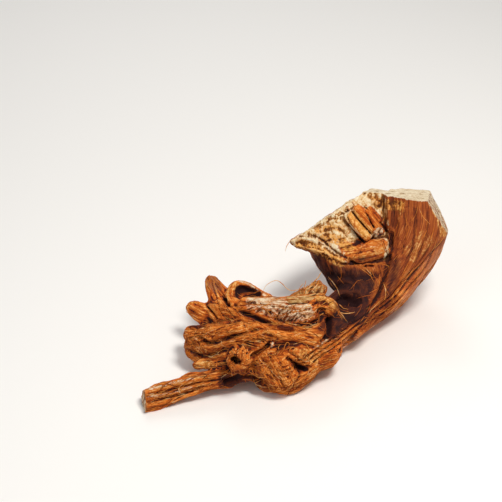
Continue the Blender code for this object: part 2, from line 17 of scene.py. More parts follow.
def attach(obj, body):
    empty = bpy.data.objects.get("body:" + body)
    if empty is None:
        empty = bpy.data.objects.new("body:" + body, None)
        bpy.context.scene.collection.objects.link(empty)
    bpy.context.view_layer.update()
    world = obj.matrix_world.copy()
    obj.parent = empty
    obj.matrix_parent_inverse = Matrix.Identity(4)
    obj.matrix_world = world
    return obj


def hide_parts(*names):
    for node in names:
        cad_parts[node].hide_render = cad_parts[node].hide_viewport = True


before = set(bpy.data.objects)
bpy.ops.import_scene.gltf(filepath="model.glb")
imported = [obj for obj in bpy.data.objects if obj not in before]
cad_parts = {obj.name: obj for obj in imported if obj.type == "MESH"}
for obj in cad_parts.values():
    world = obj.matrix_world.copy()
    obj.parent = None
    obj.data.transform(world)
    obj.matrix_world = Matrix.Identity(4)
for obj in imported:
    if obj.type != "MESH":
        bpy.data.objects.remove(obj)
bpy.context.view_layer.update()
print("frame: loaded", sorted(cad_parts))

millimetre = 0.001
benchToOrigin = Vector((-0.5, -33.25, 0.0))

# The skin: how finely it is made.
skin = dict(
    ringStep=1.5,  # between the rings of a limb
    sides=36,
    hollowSides=24,
    endBluntness=0.7,  # how far a limb's rounded end reaches, as a share of its half thickness
    endTurns=(28, 55, 80),  # how far round, in degrees, the three rings of a rounded end lie
    furthest=9.0,  # a limb has no say in skin further than this from its own
    blend=1.2,  # how gradually one limb's wrinkles give way to another's
    firstVoxel=0.8,  # the limbs are fused at this grain, cut, and fused again at the next
    firstRounds=4,
    voxel=0.42,
    rounds=7,
    triangles=165000,  # before the saw cuts, which add their own
    cutRoughness=0.35,
    cutSquares=150,
    grainShift=37.0,  # sets one limb's streaks apart from the next one's
    creaseRounds=8,  # how widely the surroundings are evened out to find the fine creases
    hollowRounds=70,  # and the wide hollows
    stumpFrom=(16, 32),  # the heights between which the stump's look begins
    sharpFrom=50,  # an edge that turns by more degrees than this stays sharp
)

# Each limb has the way its flat side faces, its wrinkles and its fine fibres as (spacing, height), how many
# loose fibres lie on it, and the stations along its middle (x, y, z, half width, half thickness).
limbTable = {
    # The thick right half of the stump, which bends forward into the crown.
    "trunk": ((0.1, -0.8, 0.6), (2.2, 0.2), (0.9, 0.17), 0.6, [
        (51, 76, 60, 13.5, 11), (51, 69, 48, 13.5, 11.5), (50.5, 62, 36, 13, 12),
        (44.5, 56, 24, 11.5, 12.5), (33, 46.8, 15, 11, 12.3), (16.5, 31, 12.8, 9.6, 12),
        (3.5, 15, 12.6, 8.8, 11.2), (-6, 5.5, 12, 8.8, 11), (-14, 3, 11, 7, 8),
    ]),
    # The thinner left half of the stump, set back from the trunk.
    "shoulder": ((-0.05, -0.85, 0.5), (3.0, 0.7), (1.2, 0.2), 0.3, [
        (21, 71, 56, 18, 9), (22, 67, 48, 19, 10), (21.5, 60, 38, 19, 11), (23, 56, 30, 16.5, 11),
        (26, 51, 22, 13.5, 11), (27, 42, 16, 10.5, 11), (20, 28, 12, 8, 9),
    ]),
    "shoulder_tip": ((0, -0.7, 0.7), (3.0, 0.6), (1.2, 0.2), 0.4, [
        (14, 56, 36.5, 8.5, 8.5), (6, 54, 37.2, 6, 6.8), (-1, 51.3, 38.8, 3, 4.4),
    ]),
    # The underside of the bend, on which the stump's weight rests.
    "heel": ((0, -0.8, 0.6), (3.0, 0.5), (1.3, 0.22), 0.4, [
        (50, 73, 35, 11, 8), (47, 68, 25, 10.5, 9), (42, 63.5, 15, 10, 9), (35, 59, 9.5, 9.5, 9),
        (28, 54, 8, 9, 9), (20, 47, 7.5, 6, 7),
    ]),
    # The swollen crown, from which the stems once rose.
    "crown": ((-0.1, -0.8, 0.6), (4.0, 1.0), (1.2, 0.3), 1.0, [
        (10, 14, 12.5, 10, 11), (-3, 11.5, 13, 11, 12), (-15, 11.5, 13, 11, 12.5),
        (-27.5, 13.5, 12, 10, 10.5), (-37, 15.5, 10.5, 8.5, 8), (-43.5, 16.5, 10, 5, 4.8),
    ]),
    "crown_front": ((0, -0.9, 0.5), (3.6, 0.9), (1.1, 0.3), 1.0, [
        (5.5, 9.5, 10, 6, 7.6), (-1.5, 5, 8.5, 7.6, 8.6), (-8, 1.4, 7.5, 7.7, 8), (-16, 1, 7.5, 5, 6),
    ]),
    # A fold over the front of the crown, and torn lobes at its left end.
    "fold": ((0, -0.8, 0.6), (2.8, 0.7), (1.1, 0.25), 0.9, [
        (8, 8, 20, 4, 3.5), (-3, 6.5, 23, 4.5, 3.5), (-14, 7, 23.5, 4.5, 3.5), (-26, 10, 21, 4.5, 3.5),
        (-37, 13, 17, 4, 3), (-44, 16, 14, 3, 2.4),
    ]),
    "lobe_up": ((-0.1, -0.8, 0.6), (2.4, 0.4), (1.0, 0.22), 0.4, [
        (-25.5, 20, 16, 8.5, 4.5), (-29, 27, 18.5, 6.8, 3.4), (-32.3, 34.5, 21, 5.2, 2.5),
        (-35, 40, 23, 3.9, 2.1), (-36.5, 43.5, 24.3, 2.4, 1.7),
    ]),
    "lobe_left": ((-0.1, -0.7, 0.7), (2.4, 0.4), (1.0, 0.3), 0.4, [
        (-26, 19, 14, 5, 4), (-33, 26.5, 15, 5, 2.6), (-39, 31, 15.3, 4.8, 2.1),
        (-43.5, 34.5, 15.5, 3.4, 1.8), (-45.5, 36, 15.5, 2, 1.5),
    ]),
    "lobe_low": ((-0.1, -0.7, 0.7), (2.4, 0.4), (1.0, 0.3), 0.6, [
        (-29, 18, 11, 6, 5), (-38, 21, 11, 5.2, 4.4), (-45, 23.5, 11, 3.2, 3),
    ]),
    "lobe_base": ((0, -0.8, 0.6), (2.4, 0.6), (1.0, 0.3), 0.7, [
        (-35, 31, 18, 4, 2.6), (-31.3, 26.2, 19.5, 5.5, 3.2), (-26, 22.5, 20.5, 5.8, 3.6),
        (-20, 17.5, 21.5, 5, 3.6), (-12, 13, 22, 4, 3.2),
    ]),
    # The rolled stem base across the top of the crown, and its knob.
    "scroll": ((0, -0.5, 0.85), (2.6, 0.9), (1.3, 0.25), 0.5, [
        (-23, 23.5, 25, 3.4, 3.4), (-15, 21, 26, 4.2, 4.2), (-6.5, 19, 26.5, 5.2, 5.2),
        (1.5, 19, 26.5, 5.6, 5.4), (8.5, 24, 25.5, 4.4, 4.6),
    ]),
    "scroll_knob": ((0, -0.8, 0.6), (2.4, 0.4), (1.2, 0.25), 0.5, [
        (6, 23, 24.5, 4, 4), (11, 22.5, 25, 4.6, 4.6), (12.5, 22, 21.5, 3.8, 3.8),
    ]),
    "scroll_back": ((0, -0.5, 0.85), (3.0, 0.8), (1.2, 0.3), 1.0, [
        (-4, 24, 24, 4, 4), (4, 28, 26, 4.5, 3.5), (9, 33, 28, 3, 2.2),
    ]),
    # The rim of the hollow stem, and the floor of its hollow.
    "stem_rim": ((0.3, -0.6, 0.75), (2.0, 0.25), (0.9, 0.15), 0.2, [
        (-17, 21, 24.5, 2.4, 2.2), (-23.5, 24.5, 24, 2.4, 2.1), (-27.3, 29, 24, 2.2, 1.8),
        (-27.8, 33, 25.6, 2, 1.7), (-25.8, 35.3, 27.2, 1.7, 1.4), (-22.8, 35.4, 27.9, 1.3, 1.1),
        (-19.8, 33.8, 27.6, 1.1, 1), (-16.8, 31, 26.8, 1.1, 1), (-13.4, 28, 25.8, 1.5, 1.4),
    ]),
    "stem_wall": ((0.2, -0.8, 0.4), (2.0, 0.25), (0.9, 0.15), 0.2, [
        (-27.8, 32, 22.4, 4, 1.6), (-25.2, 34.8, 23.2, 4.4, 1.3), (-21, 34.8, 23.2, 4.6, 1.1),
        (-16.8, 31.6, 22.8, 4.4, 1.1), (-12.4, 28.4, 22.8, 3.6, 1.4),
    ]),
    "stem_floor": ((0, -0.5, 0.85), (2.4, 0.4), (1.2, 0.25), 0.4, [
        (-28, 28, 19, 5, 4), (-21, 30, 20, 6, 4.5), (-12, 28, 20, 6, 4.5),
    ]),
    # A second, shorter hollow stem that points at the viewer.
    "stem_stub": ((0.8, -0.5, 0.4), (1.6, 0.5), (0.9, 0.3), 0.6, [
        (-22.5, 9, 14.5, 4.6, 4.6), (-24, 0, 17.2, 4.4, 5), (-24.5, -3.5, 18.4, 3.8, 4.7),
    ]),
    "stub_tongue": ((0, -0.9, 0.4), (1.8, 0.25), (1.0, 0.2), 0.3, [
        (-25, -1.5, 15, 3.2, 2.8), (-24, -2, 10.5, 2.8, 2.6), (-21, 0, 7, 2.4, 2.2),
    ]),
    # The split side root that runs forward to the left.
    "side_root": ((-0.2, -0.6, 0.8), (2.7, 0.9), (1.0, 0.3), 1.0, [
        (-14, 4, 9.5, 5, 5), (-24, 1.5, 8, 4.6, 4.2), (-34, -1, 6.6, 4.1, 3.6), (-44, -3.5, 5.4, 4.1, 3.4),
        (-54, -7, 3.9, 4.3, 3.4), (-66, -11, 2.8, 4.4, 3.4),
    ]),
    "flake": ((0, -0.4, 0.9), (2.0, 0.25), (0.9, 0.15), 0.4, [
        (-24, 4, 9.5, 3.6, 2.8), (-31, 4.5, 10, 3.2, 2.2), (-37, 5.5, 10, 2.6, 1.9),
        (-42, 4.5, 9.4, 1.6, 1.5),
    ]),
}

# Strands like the lay of a rope edge the trunk's outer side. They fan out from one corner of the saw cut.
rope = dict(
    line=[
        (61, 62, 33), (59.5, 58, 28), (55, 53.2, 22), (49.5, 49.8, 16.5), (44.3, 45.3, 12),
        (37, 39.5, 8.8), (26.5, 31.5, 6.4), (16.2, 20.4, 6), (5.2, 9.8, 5.6), (-4.2, 2.8, 5.8),
    ],
    strands=4,
    spread=Vector((-1.3, 0.1, 1.45)),  # from one strand to the next
    fanned=2,  # the station at which the strands are fully spread
    sway=Vector((0.1, -0.35, 0.35)),
    thickness=1.7,
    crease=1.3,
    face=(0.3, -0.8, 0.5), wrinkle=(1.6, 0.25), fibre=(0.8, 0.2), loose=1.3,
)

splinters = {  # pieces that stand on the break or beside it and were never cut with it
    "long_splinter": ((0, -0.6, 0.8), (1.8, 0.25), (0.9, 0.12), 0.1, [
        (21.3, 59, 46.2, 2.6, 2), (25, 56, 43.3, 2.9, 2), (29, 52.6, 39.2, 2.2, 1.8),
    ]),
    "upper_splinter": ((0, -0.6, 0.8), (1.8, 0.25), (0.9, 0.12), 0.1, [
        (24.5, 60, 48.5, 2, 2), (28, 57.5, 46, 3, 2.2), (32, 54.5, 42, 3, 2.4),
    ]),
    "chunk": ((0, -0.8, 0.6), (2.4, 0.8), (1.0, 0.35), 0.2, [
        (14.5, 49, 31, 2, 2), (20, 49, 32, 3.6, 2.6), (28, 50, 33, 4.4, 2.8), (37, 52, 34.6, 4, 2.8),
    ]),
}

eye = Vector((-20, -429, 369))  # the eye from which the folds are laid out
lookedAt = Vector((-20, 30, 48))  # and the point that it looks at
forward = (lookedAt - eye).normalized()
rightward = forward.cross(Vector((0, 0, 1))).normalized()
upward = rightward.cross(forward)

# Limbs are told by how their names begin.
anyLimb = ""
stumpLimbs = "trunk shoulder heel"

# Folds, as the eye sees them: the limbs that they lie on, the route of the crest or the bottom (across to the
# right and up, from the point looked at), the height (less than none for a crease), and the widths on the two
# sides of the route, the one on the left of its direction first.
folds = [
    # The groove between the stump's halves, and the seams of its front.
    ("trunk shoulder", [(56.5, 8), (56, 2), (55, -5), (53.5, -12), (51, -19), (47, -24)], -1.8, 1.5, 1.5),
    ("trunk", [(61, 18), (60, 4.5), (59, -8.5), (55, -19.5)], 0.5, 1.6, 1.6),
    ("trunk", [(66, 18), (66, 9), (64.5, 0.5), (61, -9.5)], -0.5, 1.2, 1.2),
    ("trunk", [(71, 16.5), (71, 8.5), (69, 2), (65, -7), (57.5, -16.5)], -0.5, 1.2, 1.2),
    ("trunk rope", [(77, 4), (71, -3.5), (61, -14), (51, -24), (40, -36), (31, -45)], -1.4, 1.4, 1.2),
    # The hollow under the stump's broken rim.
    ("trunk shoulder", [(30, -9.5), (39.5, -11), (48, -10.5), (53, -9)], -1.0, 2.2, 2.2),
    ("trunk shoulder", [(35, -18), (42, -21), (48.5, -19.5)], -0.8, 3, 3),
    ("trunk shoulder", [(41.5, -29), (38, -25), (36.5, -19)], -1.6, 3.4, 3.4),
    # The crevice under the scroll, and the notch at its right end.
    ("crown fold scroll trunk",
     [(-4, -24.8), (2, -26.8), (8, -28.8), (13, -30.6), (18, -31)], -3.8, 1.2, 2.4),
    ("crown fold scroll trunk", [(17, -31), (22, -30.4), (27, -28)], -1.4, 1.2, 1.8),
    ("crown trunk scroll", [(31, -26.5), (32, -30), (31.2, -33.5), (28, -37)], -3.6, 2, 2),
    ("crown lobe stem", [(-10.5, -18.5), (-9.5, -21), (-8, -22.5)], -2.2, 1.3, 1.3),
    ("crown lobe", [(-17.4, -21.8), (-15.2, -24.8), (-12.8, -27.8)], -1.6, 0.7, 0.7),
    ("crown lobe", [(-27, -29), (-22.5, -30.5), (-17, -31)], -3, 1.6, 1.6),
    # Folds and creases over the front of the crown.
    ("crown fold", [(-23, -31.5), (-15, -31), (-7.5, -28.5), (-1.5, -29.5), (6, -31.5), (13.5, -34.5),
     (20.5, -36)], 0.8, 3, 1.4),
    ("crown fold", [(-22, -33.5), (-17, -36.5), (-13, -36.2), (-8.5, -34.6), (-3.5, -33), (2, -31),
     (6, -30.6), (11, -32)], -1.8, 1.2, 1.6),
    ("crown fold", [(-20, -38.8), (-14, -38.6), (-10, -37.4), (-5, -35.6), (2.5, -33.3), (8, -32.4),
     (14, -34.5)], 1.3, 1.2, 3.2),
    ("crown fold stem", [(0, -43), (3, -41), (6, -39), (8.5, -37)], -2.3, 1.6, 1.2),
    ("crown", [(-26, -39.5), (-19, -42.5), (-13, -41), (-9, -38.5)], -1.8, 1.6, 1.6),
    ("crown trunk", [(0.6, -44.2), (4.6, -42), (8.1, -39.9), (11, -39.5)], 1.2, 0.8, 2.6),
    ("crown trunk", [(14.4, -42.2), (17, -44), (19.8, -46), (23, -47.4)], -2.2, 1.0, 2.2),
    ("crown trunk", [(16.5, -40.2), (18.7, -42), (21.7, -44.3), (24.8, -46)], 1.3, 3.4, 0.7),
    ("crown trunk", [(20, -47.5), (20, -50), (18, -53.5), (17, -56)], -1.1, 0.9, 0.9),
    ("crown", [(-1, -49.6), (4.6, -53.1), (8.6, -56.6)], -1.4, 1.2, 1.6),
    # The side root.
    ("side", [(-41, -56), (-32.5, -53.5), (-21.5, -51), (-11.5, -49)], 1.0, 1.3, 1.3),
    ("side", [(-41, -57.5), (-32.5, -55.5), (-21.5, -53), (-10.5, -51)], -1.3, 1.1, 1.1),
    ("side", [(-42, -59), (-32.5, -57), (-22.5, -54.5), (-14.5, -53)], 1.0, 1.2, 1.2),
    ("side", [(-41.5, -61), (-34.5, -59.5), (-26.5, -57.5), (-18.5, -55)], -1.2, 1.1, 1.1),
    # The dark cavity where the side root leaves the crown.
    ("crown side stub", [(-11, -53), (-5, -51.5), (-0.5, -52), (5, -54.5)], -4, 3, 3),
]

# Finer marks, in the same terms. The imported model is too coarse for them.
marks = [
    # The torn lip, the crease above it and the step over that.
    (anyLimb, [(15, 3.4), (20.4, 4.6), (25.2, 4.2), (27.6, 1.6), (31.2, -1.2), (34.4, -3),
     (39.6, -4.8)], 0.9, 1.2, 1.3),
    (anyLimb, [(24, 6.6), (27.6, 5.4), (30, 3.6), (32, 1.6), (35.6, -1.2), (39, -3.4)], -0.8, 1.1, 0.7),
    (anyLimb, [(27, 6.8), (29.8, 8.2), (33, 9.2), (36, 8.4), (39, 6.6)], -0.5, 1.6, 1.4),
    ("long", [(38.6, 14.4), (41.4, 11), (44.4, 7.4)], 0.7, 1.0, 1.6),
    (anyLimb, [(24.8, 6), (27.6, 4.8), (30.4, 4), (33.2, 4.4)], -0.6, 1.0, 0.7),
    # The splinters' slots.
    (anyLimb, [(40.4, 16), (43.6, 12), (46.8, 8.4), (49.2, 5.6)], -1.6, 0.6, 0.5),
    (anyLimb, [(46, 17.6), (47.2, 14.4), (48.8, 10.8), (50, 8.8)], -2.4, 0.8, 0.8),
    (anyLimb, [(38.4, 14.4), (40.4, 10.4), (42.8, 6.4), (45.6, 3.2)], -1.3, 0.6, 0.6),
    (anyLimb, [(52, 11.6), (53.6, 9.6), (54.8, 7.2)], -1.4, 0.7, 0.7),
    # Under the chunk.
    (anyLimb, [(39.6, -4), (42.8, -5.6), (46, -6), (50, -6)], -1.6, 0.9, 0.9),
    ("lobe", [(-16.6, -10.2), (-13.6, -12.4), (-11.6, -14.8), (-10, -17.2), (-8.8, -19.6)], 0.7, 0.6, 0.8),
    ("scroll stem_wall",
     [(23.5, -21), (28, -19.2), (32, -20.6), (33.6, -23.6), (32.4, -26.4)], 1.3, 1.1, 1.3),
    # The scroll.
    ("scroll", [(3.6, -20.8), (4.8, -21.4), (6, -21.6)], -0.9, 0.4, 0.5),
    ("scroll", [(8.4, -22), (9.2, -22.6), (10, -22.8)], -0.7, 0.4, 0.4),
    ("scroll", [(13.2, -24.4), (14.8, -22.8), (16, -23.2), (17.2, -22)], -0.8, 0.5, 0.4),
    ("scroll", [(10, -28), (12, -24.8), (13.6, -22.8)], -0.8, 0.6, 0.5),
    ("scroll", [(12.8, -28.8), (14.4, -26.8), (16.4, -24.4)], -0.9, 0.6, 0.5),
    ("scroll", [(15.6, -29.2), (17.2, -27.2), (19.2, -24.8)], -0.9, 0.6, 0.5),
    ("scroll", [(18.4, -29.6), (20.4, -27.6), (22.4, -25.2)], -0.9, 0.6, 0.5),
    ("scroll", [(21.2, -28.8), (23.2, -27.2), (24.8, -25.6)], -0.8, 0.6, 0.5),
    # The lobes and the crown.
    ("lobe_up lobe_base", [(-15.6, -12), (-13.6, -18), (-11.4, -25), (-8, -28)], -0.7, 0.5, 0.5),
    ("lobe_up lobe_base", [(-14, -13), (-11.4, -19), (-9, -24), (-5, -27.4)], -0.6, 0.4, 0.5),
    ("lobe_base", [(-9, -21.4), (-6, -23.6), (-3.4, -26.6)], -0.7, 0.5, 0.5),
    ("crown fold", [(-26, -34), (-21, -33), (-16, -33.4)], -0.8, 0.5, 0.6),
    ("crown fold", [(-25, -38), (-20, -36.6), (-16, -37.8)], -0.8, 0.5, 0.6),
    ("crown fold", [(-23, -42.6), (-17.4, -41), (-12.6, -42)], -0.9, 0.6, 0.6),
    ("crown fold", [(-8.4, -36), (-2.4, -34), (2, -30), (6.8, -30.4), (14.8, -31.2)], 0.7, 0.7, 0.6),
    ("crown fold",
     [(-8.4, -39.2), (-3.2, -36.8), (4.4, -33.2), (8.4, -33.2), (12.4, -34.4)], 0.6, 0.7, 0.6),
    ("crown fold", [(1.6, -44), (5.2, -40.4), (8.4, -38.4), (11.6, -37.2)], 0.6, 0.7, 0.7),
    # The bottom of the crevice under the scroll.
    (anyLimb, [(-4, -24.2), (0, -25.4), (4, -27.2), (8, -28.8), (12, -30.4), (17, -31.2)], -1.6, 0.9, 1.3),
]

# Round pits and knobs: the limbs, the place as the eye sees it, the height and the radius.
spots = [
    ("scroll", (28.6, -24.4), -1.6, 2.6),
    ("crown trunk", (19.6, -47), -2.8, 2.6),
    ("crown trunk", (22, -47.4), -1.8, 1.8),
    ("crown fold trunk", (8.8, -37.6), 1.3, 1.3),
    ("stem scroll lobe crown", (-8.8, -20.8), -1.5, 1.1),
    ("stem scroll lobe crown", (-6, -21.8), -1.0, 0.8),
    ("stem_stub", (-6.6, -38.7), -0.8, 0.7),
    ("stem_stub", (-5, -39.1), -0.8, 0.6),
    ("stem_stub", (-3.6, -38.6), -0.9, 0.7),
    ("stem_stub", (-2.8, -40.2), -0.8, 0.7),
    ("stem_stub", (-1.6, -39.1), -0.7, 0.6),
    ("stem_stub", (-0.9, -41), -0.8, 0.6),
    ("stem_stub", (-7.6, -40.4), -0.6, 0.5),
    (anyLimb, (50.5, 6.8), 0.9, 1.3),
    (anyLimb, (53, 7.8), 0.8, 1.1),
]

# Crusty bark, as the eye sees it: the limbs, the route of its middle, the half width and the height.
crusts = [
    ("crown trunk", [(3, -45), (8, -46), (13, -49), (15, -54)], 9, 0.3),
    ("crown trunk", [(19, -41), (24, -41), (29, -38)], 5, 0.25),
    ("scroll", [(4, -24), (11, -25), (18, -26), (25, -24)], 5, 0.5),
    ("shoulder chunk", [(16.5, 3), (22, 2), (28, 0), (34, -3), (42, -4)], 4, 0.55),
    ("stem_stub stub", [(-7, -44), (-7, -40), (-3, -38.4), (0, -41)], 3, 0.8),
    ("flake", [(-20, -48), (-12, -47), (-6, -46)], 4, 0.7),
    # The break's pits.
    (anyLimb, [(27, 9.5), (31, 11.5), (35, 13.4), (38.5, 15.6), (41, 17.4)], 2.4, 1.0),
    (anyLimb, [(49, 6), (51.5, 7.6), (54, 7)], 2.4, 0.9),
    # The crown's front, the back of the scroll and the rim of the saw cut.
    ("crown fold lobe_base", [(-24, -35), (-12, -32), (-2, -33), (6, -36), (14, -38)], 7, 0.4),
    ("scroll_back", [(18, -16), (23, -15), (28, -11)], 4, 0.9),
    ("shoulder trunk", [(40, 19), (47, 19), (55, 19), (64, 18)], 2.5, 0.5),
]

# Patches where the grain runs its own way, as the eye sees it: the limbs, the route of the patch's middle,
# its half width, the way the grain runs, its wrinkles and its fibres.
patches = [
    ("crown trunk",
     [(3.5, -43), (8, -46), (12, -50.5), (15, -55)], 8, (0.5, -0.87), (2.2, 0.5), (0.8, 0.4)),
    ("crown trunk", [(19.5, -41), (24, -42.4), (28, -44)], 4, (0.8, -0.6), (3, 0.3), (0.8, 0.25)),
    ("crown fold lobe_low", [(-26, -35.5), (-22, -39), (-18, -43)], 4, (0.6, -0.8), (2, 0.7), (0.9, 0.3)),
    ("crown fold", [(-16, -34.5), (-9, -32), (-2, -31)], 3.2, (0.94, 0.3), (2, 0.7), (0.9, 0.3)),
    ("lobe_left", [(-25, -25), (-20, -25), (-15, -27.5)], 5, (0.87, -0.5), (1.5, 0.5), (0.7, 0.3)),
    ("lobe_base lobe_up", [(-14, -20), (-10, -24.5), (-5, -27)], 4.4, (0.98, -0.18), (2, 0.6), (0.9, 0.3)),
    ("scroll", [(-1, -23), (6, -26), (14, -28), (22, -26.6)], 3.4, (0.72, 0.7), (2.2, 0.6), (1.0, 0.3)),
]

breakAt = Vector((20, 54, 39))  # the broken face of the stump's left half
breakFaces = Vector((0.13, -0.73, 0.67)).normalized()
breakEdge = 38.0  # x of its right side, at the groove
breakReach = dict(right=breakEdge - breakAt.x, down=13, thick=25)
breakRoughness = 1.5
breakLumps = (5, 7, 5)
breakChips = (2.2, 3, 2.5)
backBreak = dict(at=(10, 56.5, 45), faces=(-0.555, 0.5, 0.665), left=22)
backBreakEnds = dict(right=34, bottom=36)  # x of its right side and z of its lower side

hollows = {  # each with the way its flat side faces, and its stations
    "stem_hollow": ((0, -1, 0.4), [
        (-19.8, 29.6, 33, 5, 3.3), (-19.8, 29.6, 27, 4.8, 3.2), (-19.4, 29.2, 23.4, 3.4, 2.4),
    ]),
    "stub_hollow": ((1, 0, 0), [
        (-25.6, -12, 22.6, 2, 2.5), (-25.4, -3, 19, 1.8, 2.3), (-24.6, 2, 17, 1.2, 1.4),
    ]),
    "side_root_cavity": ((1, 0, 0), [
        (-21, -12, 2.5, 3.2, 7), (-21, -4, 3.5, 3.2, 6.5), (-20.5, 1.5, 4.5, 2, 4.5),
    ]),
    "knob_bay": ((0, -1, 0.3), [(21, 34, 36, 7, 5), (20.5, 32, 28, 7, 4.6), (19.5, 29.5, 20, 5, 3.4)]),
}

cuts = {  # the sawn and sliced faces, and the level of the bench
    "saw_cut": dict(at=(50, 66, 50.5), faces=(0.08, 0.35, 0.93)),
    "side_cut": dict(at=(58.4, 58.7, 45.2), faces=(0.845, 0.05, 0.53)),
    "side_root_cut": dict(at=(-61.5, -10, 4), faces=(-0.95, -0.25, 0.15), left=20, right=20, down=20, up=20),
}
cutBareness = dict(side_cut=0.44)  # how much of its pale wood shows, where it isn't all
bench = dict(at=(0, 40, 0), faces=(0, 0, -1), left=150, right=150, down=150, up=150, squares=2)


def through(points, step):  # a smooth line through rows that begin with a place
    rows = np.array(points, float)
    rows = np.vstack([2 * rows[0] - rows[1], rows, 2 * rows[-1] - rows[-2]])
    line = []
    for a, b, c, d in zip(rows, rows[1:], rows[2:], rows[3:]):
        count = max(2, round(np.linalg.norm(c[:3] - b[:3]) / step))
        for t in np.linspace(0, 1, count, endpoint=False):
            bend = (2 * a - 5 * b + 4 * c - d) * t**2 + (3 * b - a - 3 * c + d) * t**3
            line.append(0.5 * (2 * b + (c - a) * t + bend))
    line.append(rows[-2])
    return np.array(line)


def unit(rows):
    return rows / np.linalg.norm(rows, axis=-1, keepdims=True)


def rise(value, low, high):  # from 0 at low to 1 at high, in a smooth S
    t = np.clip((value - low) / (high - low), 0, 1)
    return t * t * (3 - 2 * t)


def swells(points, seed):  # smooth noise between about -1 and 1, with about one swell to each unit
    cell = np.floor(points).astype(np.int64)
    inside = points - cell
    fade = inside**3 * (inside * (inside * 6 - 15) + 10)
    total = np.zeros(len(points))
    for corner in product((0, 1), repeat=3):
        at = cell + corner
        mixed = at[:, 0] * 374761393 + at[:, 1] * 668265263 + at[:, 2] * 1440662683 + seed * 974634777
        mixed = (mixed ^ (mixed >> 13)) * 1274126177 & 0xFFFFFFFF
        slope = ((mixed[:, None] >> np.array([4, 12, 20])) & 255) / 127.5 - 1
        weight = np.where(corner, fade, 1 - fade).prod(axis=1)
        total += weight * (slope * (inside - corner)).sum(axis=1)
    return 1.3 * total


class Limb:  # a limb's middle line, with its directions at each ring
    def __init__(self, name, face, wrinkle, fibre, loose, stations):
        self.name = name
        self.wrinkle = wrinkle
        self.fibre = fibre
        self.loose = loose
        self.seed = 10 * sum(name.encode())
        rows = through(stations, skin["ringStep"])
        self.middle = rows[:, :3]
        self.half = rows[:, 3:]
        self.run = np.concatenate([[0], np.cumsum(np.linalg.norm(np.diff(self.middle, axis=0), axis=1))])
        self.along = unit(np.gradient(self.middle, axis=0))
        flat = np.array(face, float)
        self.out = unit(flat - (self.along @ flat)[:, None] * self.along)
        self.across = np.cross(self.along, self.out)

    def rings(self, sides):  # the rings of points round the limb, with three to round off each end
        turn = np.linspace(0, 2 * np.pi, sides, endpoint=False)
        last = len(self.middle) - 1
        steps = [(0, -angle) for angle in reversed(skin["endTurns"])] + [(i, 0) for i in range(last + 1)]
        steps += [(last, angle) for angle in skin["endTurns"]]
        rings = []
        for i, angle in steps:
            wide, thick = self.half[i] * np.cos(np.radians(angle))
            reach = np.sin(np.radians(angle)) * self.half[i].min() * skin["endBluntness"]
            centre = self.middle[i] + self.along[i] * reach
            sideways = np.outer(np.cos(turn) * wide, self.across[i])
            rings.append(centre + sideways + np.outer(np.sin(turn) * thick, self.out[i]))
        return rings

    # How far points are from the limb's skin, their places if it were straight, and the way it runs there.
    def straightened(self, points):
        margin = self.half.max() + skin["furthest"]
        near = ((points > self.middle.min(0) - margin) & (points < self.middle.max(0) + margin)).all(axis=1)
        gaps = np.linalg.norm(points[near][:, None] - self.middle[None], axis=2)
        ring = gaps.argmin(axis=1)
        off = points[near] - self.middle[ring]
        axes = (self.along, self.across, self.out)
        along, across, out = [(off * axis[ring]).sum(axis=1) for axis in axes]
        half = self.half[ring]
        outside = np.abs(np.hypot(across / half[:, 0], out / half[:, 1]) - 1) * half.min(axis=1)
        distance = np.full(len(points), np.inf)
        distance[near] = outside + np.maximum(np.abs(along) - skin["ringStep"], 0)
        places = np.zeros((len(points), 3))
        places[near] = np.stack([self.run[ring] + along, across, out], axis=1)
        course = np.zeros((len(points), 3))
        course[near] = self.along[ring]
        return distance, places, course


def ropeLimbs():  # the strands of the rope, each rising and sinking a little along its run
    limbs = []
    for strand in range(rope["strands"]):
        stations = []
        for i, place in enumerate(rope["line"]):
            sway = rope["sway"] * np.sin(1.9 * i + 2.2 * strand)
            fan = min(1, i / rope["fanned"])
            x, y, z = Vector(place) + fan * (rope["spread"] * strand + sway)
            stations.append((x, y, z, rope["thickness"], rope["thickness"]))
        looks = [rope[key] for key in ("face", "wrinkle", "fibre", "loose")]
        limbs.append(Limb(f"rope_{strand + 1}", *looks, stations))
    return limbs


def linked(name, data):  # a new object in the scene, with this data
    obj = bpy.data.objects.new(name, data)
    bpy.context.scene.collection.objects.link(obj)
    return obj


def newObject(name, shape):  # an object from bmesh data in millimetres, with its faces pointing out
    bmesh.ops.recalc_face_normals(shape, faces=shape.faces)
    shape.transform(Matrix.Scale(millimetre, 4))
    mesh = bpy.data.meshes.new(name)
    shape.to_mesh(mesh)
    shape.free()
    return linked(name, mesh)


def loft(shape, rings):  # adds the closed skin over a row of rings
    rings = [[shape.verts.new(point) for point in ring] for ring in rings]
    for ring, following in zip(rings, rings[1:]):
        for side in range(len(ring)):
            shape.faces.new((ring[side - 1], ring[side], following[side], following[side - 1]))
    shape.faces.new(rings[0])
    shape.faces.new(reversed(rings[-1]))


def lofts(name, limbs, sides=skin["sides"]):
    shape = bmesh.new()
    for limb in limbs:
        loft(shape, limb.rings(sides))
    return newObject(name, shape)


def modify(obj, kind, **settings):  # works a modifier into the object's mesh
    modifier = obj.modifiers.new(kind.lower(), kind)
    for name, setting in settings.items():
        setattr(modifier, name, setting)
    graph = bpy.context.evaluated_depsgraph_get()
    mesh = bpy.data.meshes.new_from_object(obj.evaluated_get(graph))
    obj.modifiers.clear()
    obj.data = mesh


def fuse(obj, voxel, rounds):  # makes the bodies in one object one skin, its joints a little rounded
    modify(obj, "REMESH", mode="VOXEL", voxel_size=voxel * millimetre)
    modify(obj, "SMOOTH", iterations=rounds)


def cutAway(obj, cutter):
    modify(obj, "BOOLEAN", operation="DIFFERENCE", object=cutter, solver="MANIFOLD")
    bpy.data.objects.remove(cutter)


